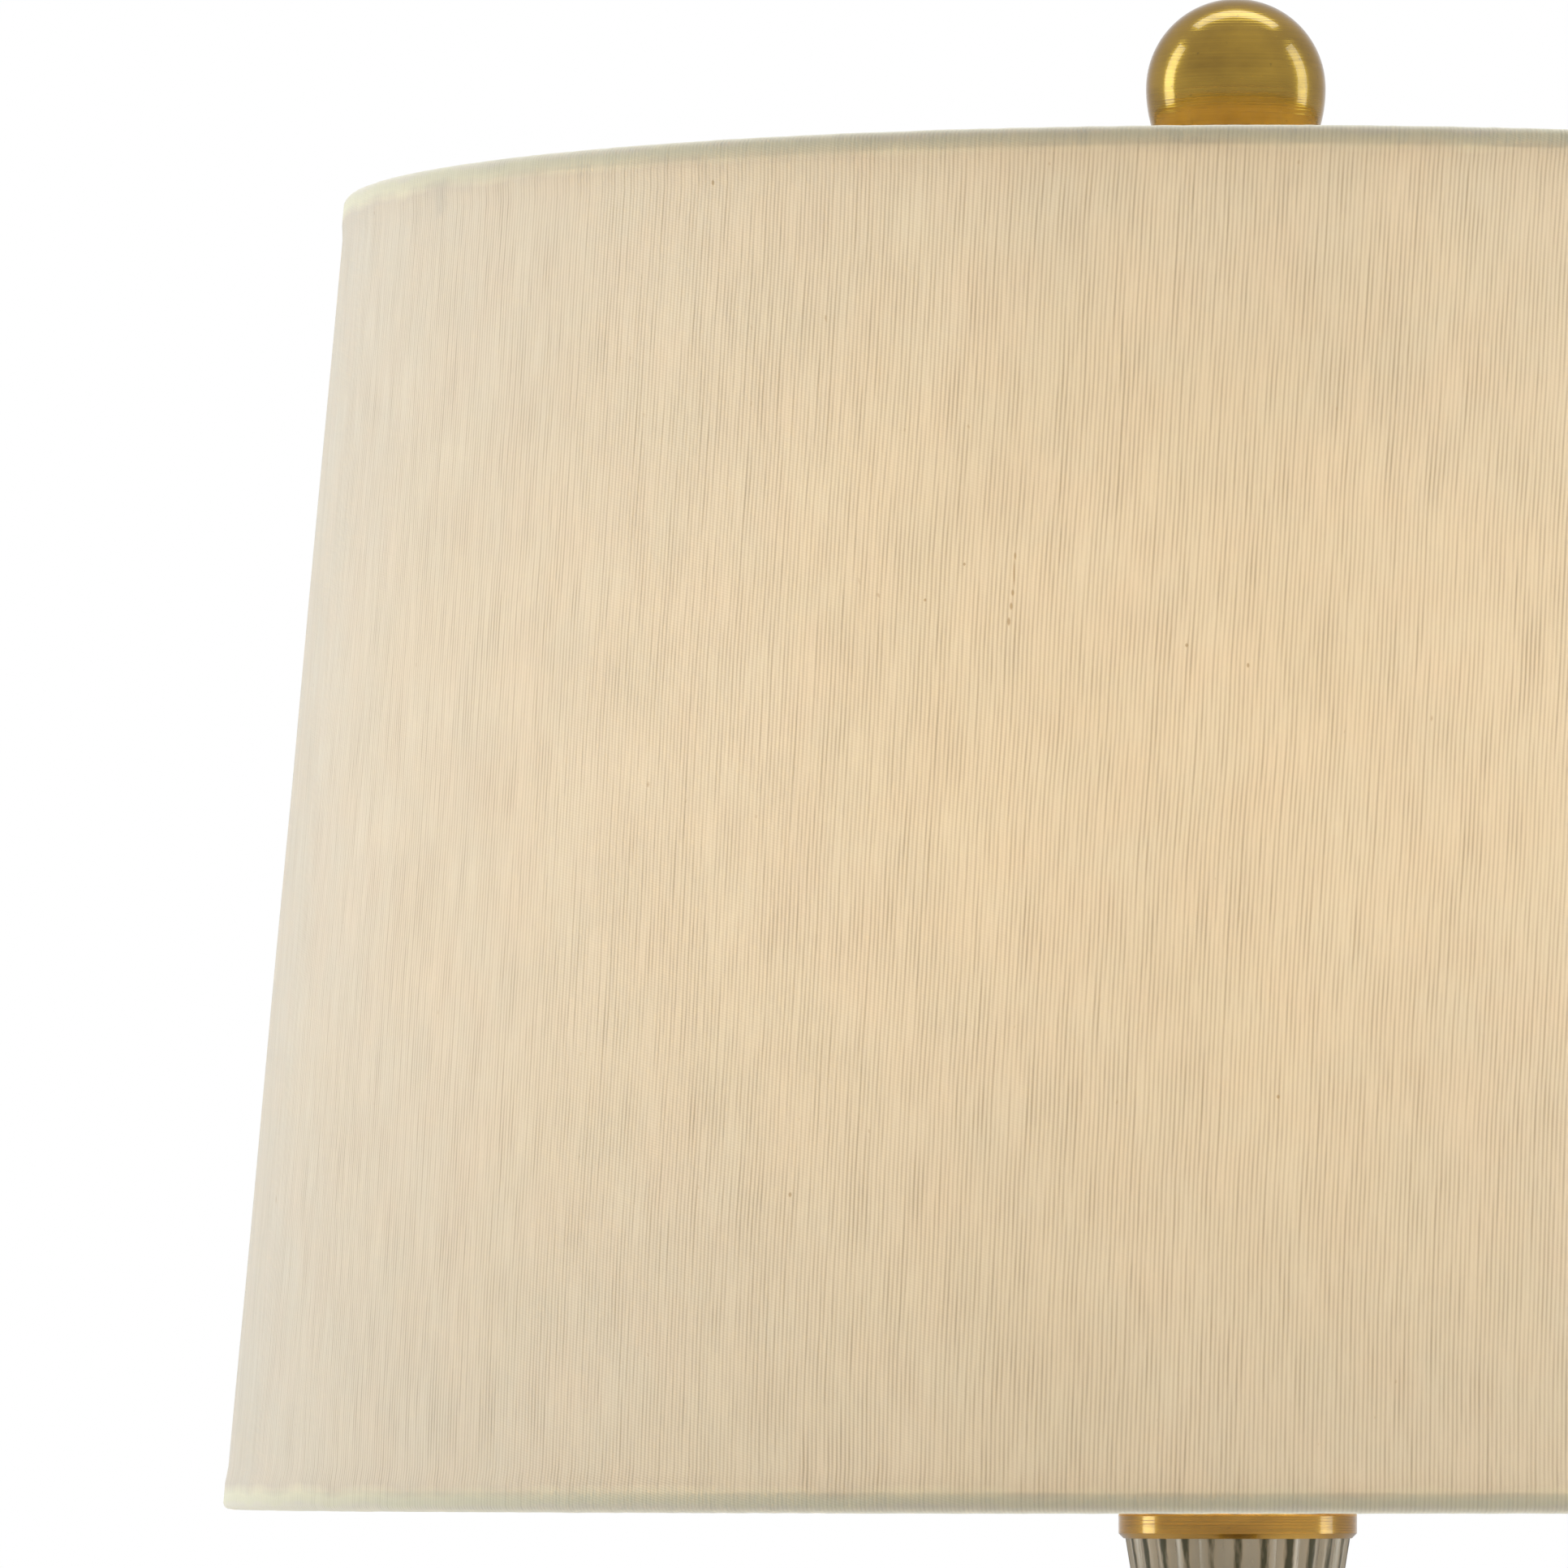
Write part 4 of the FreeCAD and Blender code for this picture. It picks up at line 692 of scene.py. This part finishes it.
def weave(tree):
    """Sockets: rib height, its change along a thread, its slow change, cross threads, place."""
    flat = add(tree, "ShaderNodeUVMap", {"uv_map": "flat_cut"}).outputs["UV"]
    parts = add(tree, "ShaderNodeSeparateXYZ", Vector=flat).outputs
    across, up = parts["X"], parts["Y"]
    eased = maths(tree, "EXPONENT", maths(tree, "MULTIPLY", up, -1.0 / LEAN_FADE))
    bend = maths(tree, "MULTIPLY", eased, LEAN_EASE)
    shift = maths(tree, "MULTIPLY_ADD", up, THREAD_LEAN, bend)
    wander = cloudy(tree, flat, (9.0, 14.0, 1.0), 2.0)
    across = maths(tree, "SUBTRACT", across, shift)
    across = maths(tree, "MULTIPLY_ADD", wander, WANDER, across)
    thread = maths(tree, "DIVIDE", across, RIB_PITCH)
    wave = maths(tree, "COSINE", maths(tree, "MULTIPLY", thread, 2 * math.pi))
    rib = maths(tree, "MULTIPLY_ADD", wave, 0.5, 0.5)
    along = maths(tree, "MULTIPLY", up, 55.0)
    followed = add(tree, "ShaderNodeCombineXYZ", X=thread, Y=along).outputs[0]
    strength = cloudy(tree, followed, (0.9, 1.0, 1.0), 3.0)
    slow = cloudy(tree, followed, (0.16, 0.35, 1.0), 2.0)
    weft = maths(tree, "MULTIPLY_ADD", thread, 0.5, maths(tree, "MULTIPLY", up, 1.0 / WEFT_PITCH))
    weft = maths(tree, "SINE", maths(tree, "MULTIPLY", weft, 2 * math.pi))
    return rib, strength, slow, weft, flat


# %% [markdown]
# ## Light through cloth
# A lit shade shows two lights at once: the lamp's, coming through between the threads, and
# the room's, coming back off the threads. So the cloth mixes a Translucent shader, which
# passes light on, with a Principled one, which sends it back. Seen at a glancing angle the
# fine hairs and the ribs close over the gaps, as the sheen on a nap does, so there the mix
# holds less of the lamp's light, and the sides of the shade turn pale and cool. Along both
# edges, where the cloth is doubled over the hems, a soft band is painted paler as painted
# light, with the lamp's share there lowered a little as painted shade. The very fold of the
# roll gets a painted highlight. The grooves between the ribs are painted darker as painted
# shade, both in the colour sent back and in the light passed on.


# %% Cloth finish
# Painted light: the edge band is paler than the cloth, and the fold is brighter still as a painted
# highlight.
BAND_PAINTED_LIGHT = (1.07, 1.08, 0.85)  # above 1 in red and green, which no real cloth is
FOLD_PAINTED_HIGHLIGHT = (1.0, 0.98, 0.86)
COOL = (0.992, 1.0, 1.0)
ROSY = (1.006, 0.987, 0.975)
SLUB_BROWN = (0.50, 0.38, 0.22)
NAP_CLOSES = 0.8


def painted_edge_band(tree, place):
    """(1 in the edge band of painted light and shade, where the cloth is doubled along the edges of
    the shade, 1 on the very fold, which gets a painted highlight).
    """
    height = add(tree, "ShaderNodeSeparateXYZ", Vector=place).outputs["Z"]
    below = maths(tree, "SUBTRACT", SHADE_HIGH, height)
    above = maths(tree, "SUBTRACT", height, SHADE_LOW)
    ragged = cloudy(tree, place, (70.0, 70.0, 30.0), 3.0)
    uneven = between(tree, ragged, 0.25, 0.75, -0.0009, 0.0009)
    depth = maths(tree, "ADD", maths(tree, "MINIMUM", below, above), uneven)
    band = between(tree, depth, 0.0026, 0.0050, 1.0, 0.0)
    fold = between(tree, depth, 0.0004, 0.0014, 1.0, 0.0)
    return band, fold


def shade_cloth(name, through, pale, passed, slub_places=(), rib_depth=0.00011, banded=False):
    """through is the lamp's share; pale and passed are the cloth's colours by each light."""
    material, tree, shader, place = new_finish(name, Roughness=0.82, Sheen_Weight=0.12)
    shader.inputs["Sheen Roughness"].default_value = 0.45
    shader.inputs["Specular IOR Level"].default_value = 0.2
    rib, strength, slow, weft, flat = weave(tree)
    # Darker in the grooves between the ribs: painted shade between the threads.
    groove = maths(tree, "POWER", maths(tree, "SUBTRACT", 1.0, rib), 1.3)
    firm = between(tree, strength, 0.32, 0.68, 0.25, 1.0)
    firmness = maths(tree, "MULTIPLY", firm, between(tree, slow, 0.3, 0.7, 0.6, 1.0))
    groove = maths(tree, "MULTIPLY", groove, firmness)
    patches = cloudy(tree, flat, (70.0, 55.0, 1.0), 3.0)
    blotch = cloudy(tree, flat, (21.0, 17.0, 1.0), 2.0)
    hairs = cloudy(tree, flat, (2600.0, 900.0, 1.0), 2.0)
    rosy = between(tree, patches, 0.36, 0.64)
    blotched = between(tree, blotch, 0.35, 0.65, 0.0, 0.35)
    haired = between(tree, hairs, 0.4, 0.7, 0.0, 0.10)
    slubs = between(tree, cloudy(tree, flat, (520.0, 240.0, 1.0), 1.0), 0.79, 0.87)
    for across_mm, up_mm, half_width, half_height in slub_places:
        off = add(tree, "ShaderNodeVectorMath", {"operation": "SUBTRACT"})
        feed(tree, off.inputs[0], flat)
        off.inputs[1].default_value = (across_mm / 1000, up_mm / 1000, 0.0)
        scaled = stretched(tree, off.outputs[0], (1000 / half_width, 1000 / half_height, 0.0))
        far = add(tree, "ShaderNodeVectorMath", {"operation": "LENGTH"})
        feed(tree, far.inputs[0], scaled)
        slub = between(tree, far.outputs["Value"], 0.5, 1.0, 1.0, 0.0)
        slubs = maths(tree, "MAXIMUM", slubs, slub)

    def tinted(colour, groove_shade, warm):
        cloth = mixed(tree, rosy, times(colour, COOL), times(colour, ROSY))
        cloth = mixed(tree, blotched, cloth, times(colour, warm))
        cloth = mixed(tree, groove, cloth, times(colour, groove_shade))
        cloth = mixed(tree, haired, cloth, times(colour, (0.82, 0.82, 0.82)))
        return mixed(tree, maths(tree, "MULTIPLY", slubs, 0.62), cloth, times(colour, SLUB_BROWN))

    # The second colour is the painted shade in the grooves.
    base = tinted(pale, (0.72, 0.69, 0.63), (1.0, 0.99, 0.94))
    # A paler band along each edge is painted light, and the fold gets a painted highlight.
    if banded:
        band, fold = painted_edge_band(tree, place)
        base = mixed(tree, maths(tree, "MULTIPLY", band, 0.8), base, BAND_PAINTED_LIGHT)
        base = mixed(tree, maths(tree, "MULTIPLY", fold, 0.8), base, FOLD_PAINTED_HIGHLIGHT)
    feed(tree, shader.inputs["Base Color"], base)
    height = maths(tree, "MULTIPLY", rib, firmness)
    height = maths(tree, "MULTIPLY_ADD", weft, 0.10, height)
    height = maths(tree, "MULTIPLY_ADD", slubs, 0.5, height)
    feed(tree, shader.inputs["Normal"], relief(tree, height, rib_depth))
    # The light passed on is painted darker in the grooves too, as painted shade.
    passes = tinted(passed, (0.52, 0.46, 0.37), (1.0, 0.985, 0.93))
    lamp = add(tree, "ShaderNodeBsdfTranslucent", Color=passes)
    glance = add(tree, "ShaderNodeLayerWeight", Blend=0.5).outputs["Facing"]
    open_share = maths(tree, "MULTIPLY_ADD", glance, -NAP_CLOSES, 1.0)
    share = maths(tree, "MULTIPLY", open_share, through)
    # In the edge band the lamp's share is lowered a little, as painted shade of the doubled cloth.
    if banded:
        share = maths(tree, "MULTIPLY", share, maths(tree, "MULTIPLY_ADD", band, -0.05, 1.0))
    mix_shaders(tree, share, shader, lamp, tree.nodes["Material Output"])
    return material


# (mm across from the front, mm up the cloth, half width, half height) of thick spots
SLUBS = [
    (-44.9, 192.9, 0.30, 0.9),
    (-45.1, 189.5, 0.22, 3.2),
    (-45.4, 185.4, 0.38, 0.8),
    (-45.7, 182.7, 0.40, 0.9),
    (-46.2, 179.6, 0.42, 1.0),
    (-113.0, 273.9, 0.45, 0.7),
    (-92.9, 65.6, 0.45, 0.6),
    (8.2, 83.0, 0.40, 0.5),
    (-10.0, 174.0, 0.40, 0.5),
    (2.3, 169.9, 0.35, 0.6),
    (-63.8, 184.7, 0.35, 0.4),
    (-55.5, 191.6, 0.35, 0.4),
]
cover.data.materials.append(
    shade_cloth("cream_faille", 0.58, (0.84, 0.82, 0.75), (0.95, 0.88, 0.74), SLUBS, banded=True)
)
hem_finish = shade_cloth(
    "hem_faille", 1.0, (0.88, 0.84, 0.70), (1.0, 0.96, 0.84), rib_depth=0.00009
)
for hem in hems.values():
    hem.data.materials.append(hem_finish)
print("cloth finish on", cover.name, "and", *hems)

# %% [markdown]
# ## The plastic sheet inside
# The cloth is glued to a sheet of clouded plastic, which stiffens it and spreads the lamp's
# light. From below it is what you see inside the shade: smooth, white and glowing.

# %% Plastic sheet
STYRENE_PASSES = 0.6

styrene, tree, shader, place = new_finish("clouded_styrene", Roughness=0.38)
cloud = cloudy(tree, place, (30.0, 30.0, 30.0), 3.0)
scuff = cloudy(tree, place, (700.0, 700.0, 60.0), 2.0)
sends_back = mixed(tree, cloud, (0.88, 0.87, 0.83), (0.82, 0.81, 0.76))
passes = mixed(tree, cloud, (0.95, 0.93, 0.88), (0.90, 0.88, 0.82))
feed(tree, shader.inputs["Base Color"], sends_back)
feed(tree, shader.inputs["Roughness"], between(tree, scuff, 0.3, 0.7, 0.32, 0.5))
feed(tree, shader.inputs["Normal"], relief(tree, scuff, 0.00002))
lamp = add(tree, "ShaderNodeBsdfTranslucent", Color=passes)
mix_shaders(tree, STYRENE_PASSES, shader, lamp, tree.nodes["Material Output"])
dress(styrene, "shade_backing")

# %% [markdown]
# ## The felt under the foot
# The felt keeps the brass from scratching a table. It is a disc cut with scissors, so its edge
# is not quite round, and its fibres make the surface lumpy. The disc is built from rings of
# points that are squeezed and lifted by noise, with the corners rounded as soft felt has them.

# %% Felt
FELT_RADIUS = (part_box("felt_pad")[1].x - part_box("felt_pad")[0].x) / 2
FELT_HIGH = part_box("felt_pad")[1].z
FELT_COLUMNS = 240
SCISSOR_WANDER = 0.0006


def felt_piece():
    """The disc. Its section is (share of the radius, share of the height), from the middle out."""
    section = [(0.02, 0.0), (0.5, 0.0), (0.93, 0.0), (0.985, 0.02), (0.998, 0.25), (1.0, 0.5)]
    section += [(0.998, 0.75), (0.985, 0.98), (0.93, 1.0), (0.5, 1.0), (0.02, 1.0)]
    rows, flats = [], []
    for i in range(FELT_COLUMNS):
        angle = 2 * math.pi * i / FELT_COLUMNS
        east, north = math.sin(angle), -math.cos(angle)
        row, flat = [], []
        for share, up in section:
            uneven = noise.noise(Vector((9 * east, 9 * north, 3 * up)))
            radius = FELT_RADIUS * share - SCISSOR_WANDER * abs(uneven) * (share > 0.9)
            bump = noise.noise(Vector((300 * radius * east, 300 * radius * north, 5.0)))
            z = FELT_HIGH * up - 0.00012 * abs(bump) * (up == 1.0)
            z += 0.00008 * abs(bump) * (up == 0.0)
            row.append((radius * east, radius * north, z))
            flat.append((radius * east, radius * north))
        rows.append(row)
        flats.append(flat)
    flats.append(flats[0])
    return grid_mesh("felt_disc", rows, flats, closed=True)


felt = felt_piece()
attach(felt, "column")
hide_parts("felt_pad")
wool, tree, shader, place = new_finish("green_felt", Roughness=0.95, Sheen_Weight=0.4)
shader.inputs["Sheen Roughness"].default_value = 0.5
shader.inputs["Specular IOR Level"].default_value = 0.1
fibres = cloudy(tree, place, (2200.0, 2200.0, 2200.0), 4.0)
matted = cloudy(tree, place, (180.0, 180.0, 180.0), 3.0)
share = maths(tree, "MULTIPLY", between(tree, fibres, 0.3, 0.7), between(tree, matted, 0.2, 0.8))
greens = mixed(tree, share, (0.030, 0.045, 0.030), (0.085, 0.11, 0.08))
feed(tree, shader.inputs["Base Color"], greens)
feed(tree, shader.inputs["Normal"], relief(tree, fibres, 0.00025))
felt.data.materials.append(wool)
print("felt disc", round(2 * FELT_RADIUS, 4), "m across")

# %% [markdown]
# ## Studio
# A tall softbox stands on each side of the lamp, and one hangs above it. Polished metal shows
# a softbox as a narrow bright band, and the eye reads from it how round a ball is. One light
# could do both jobs, but then the lacquered brass would turn its bands yellow. So the
# softboxes light the surfaces only, and beside each a cooler twin, the gleam, shows in
# polished metal only, where it comes out nearly white.

# %% Softboxes
def softbox(name, place, target, wide, tall, brightness, gleam=None):
    """A rectangle of light; brightness is how much its face sends out, where 1 shows as white.
    With a gleam colour it only shows in polished metal, without one it only lights surfaces."""
    light = bpy.data.lights.new(name, "AREA")
    light.shape = "RECTANGLE"
    light.size, light.size_y = wide, tall
    light.energy = brightness * math.pi * wide * tall
    box = bpy.data.objects.new(name, light)
    box.location = place
    box.rotation_euler = (Vector(target) - Vector(place)).to_track_quat("-Z", "Y").to_euler()
    box.visible_camera = False
    if gleam:
        light.color = gleam
    box.visible_diffuse = box.visible_transmission = gleam is None
    box.visible_glossy = gleam is not None
    scene.collection.objects.link(box)
    print(name, "sends out", brightness, "from", wide, "by", tall, "m")


GLEAM = (0.62, 0.76, 1.0)
for side, name in ((-1, "left"), (1, "right")):
    softbox("softbox_" + name, (2.0 * side, 0.2, 1.45), (0.0, 0.0, 0.85), 0.65, 1.8, 3.6)
    softbox("gleam_" + name, (1.99 * side, 0.2, 1.2), (0.0, 0.0, 0.95), 0.62, 2.2, 4.2, GLEAM)
softbox("softbox_above", (0.0, 0.5, 2.36), (0.0, 0.0, 0.76), 2.1, 0.50, 3.0)
softbox("gleam_above", (0.0, 0.49, 2.34), (0.0, 0.0, 0.76), 2.0, 0.46, 4.4, GLEAM)

# %% [markdown]
# ## The world's light
# All other light comes evenly from the world. The background is plain white only for the
# camera and for reflections, so it shows as white without throwing more light on the lamp.

# %% World
AMBIENT = 0.57

world = bpy.data.worlds.new("studio")
scene.world = world
world.use_nodes = True
tree = world.node_tree
tree.nodes.clear()
dim = add(tree, "ShaderNodeBackground", Color=(1.0, 1.0, 1.0), Strength=AMBIENT)
white = add(tree, "ShaderNodeBackground", Color=(1.0, 1.0, 1.0), Strength=1.0)
ray = add(tree, "ShaderNodeLightPath").outputs
seen = maths(tree, "MAXIMUM", ray["Is Camera Ray"], ray["Is Glossy Ray"])
seen = maths(tree, "MAXIMUM", seen, ray["Is Transmission Ray"])
mix_shaders(tree, seen, dim, white, add(tree, "ShaderNodeOutputWorld"))
scene.view_settings.view_transform = "Standard"
print("world light", AMBIENT)

# %% [markdown]
# ## The floor
# A pale floor catches the lamp's shadow and sends some light back up. It lies a hair below
# the felt, because two faces at one height would flicker.

# %% Floor
FLOOR_HALF = 9.0
FLOOR_HEIGHT = -0.0002

floor_corners = [(-1, -1), (1, -1), (1, 1), (-1, 1)]
floor_mesh = bpy.data.meshes.new("floor")
floor_mesh.from_pydata(
    [(FLOOR_HALF * x, FLOOR_HALF * y, 0.0) for x, y in floor_corners], [], [(0, 1, 2, 3)]
)
floor = bpy.data.objects.new("floor", floor_mesh)
scene.collection.objects.link(floor)
floor.location.z = FLOOR_HEIGHT
floor_finish, tree, shader, place = new_finish("pale_floor", Roughness=0.7)
mottle = cloudy(tree, place, (3.0, 3.0, 3.0), 4.0)
feed(tree, shader.inputs["Base Color"], mixed(tree, mottle, (0.90, 0.90, 0.89), (0.87, 0.87, 0.86)))
floor_mesh.materials.append(floor_finish)
print("floor ready")
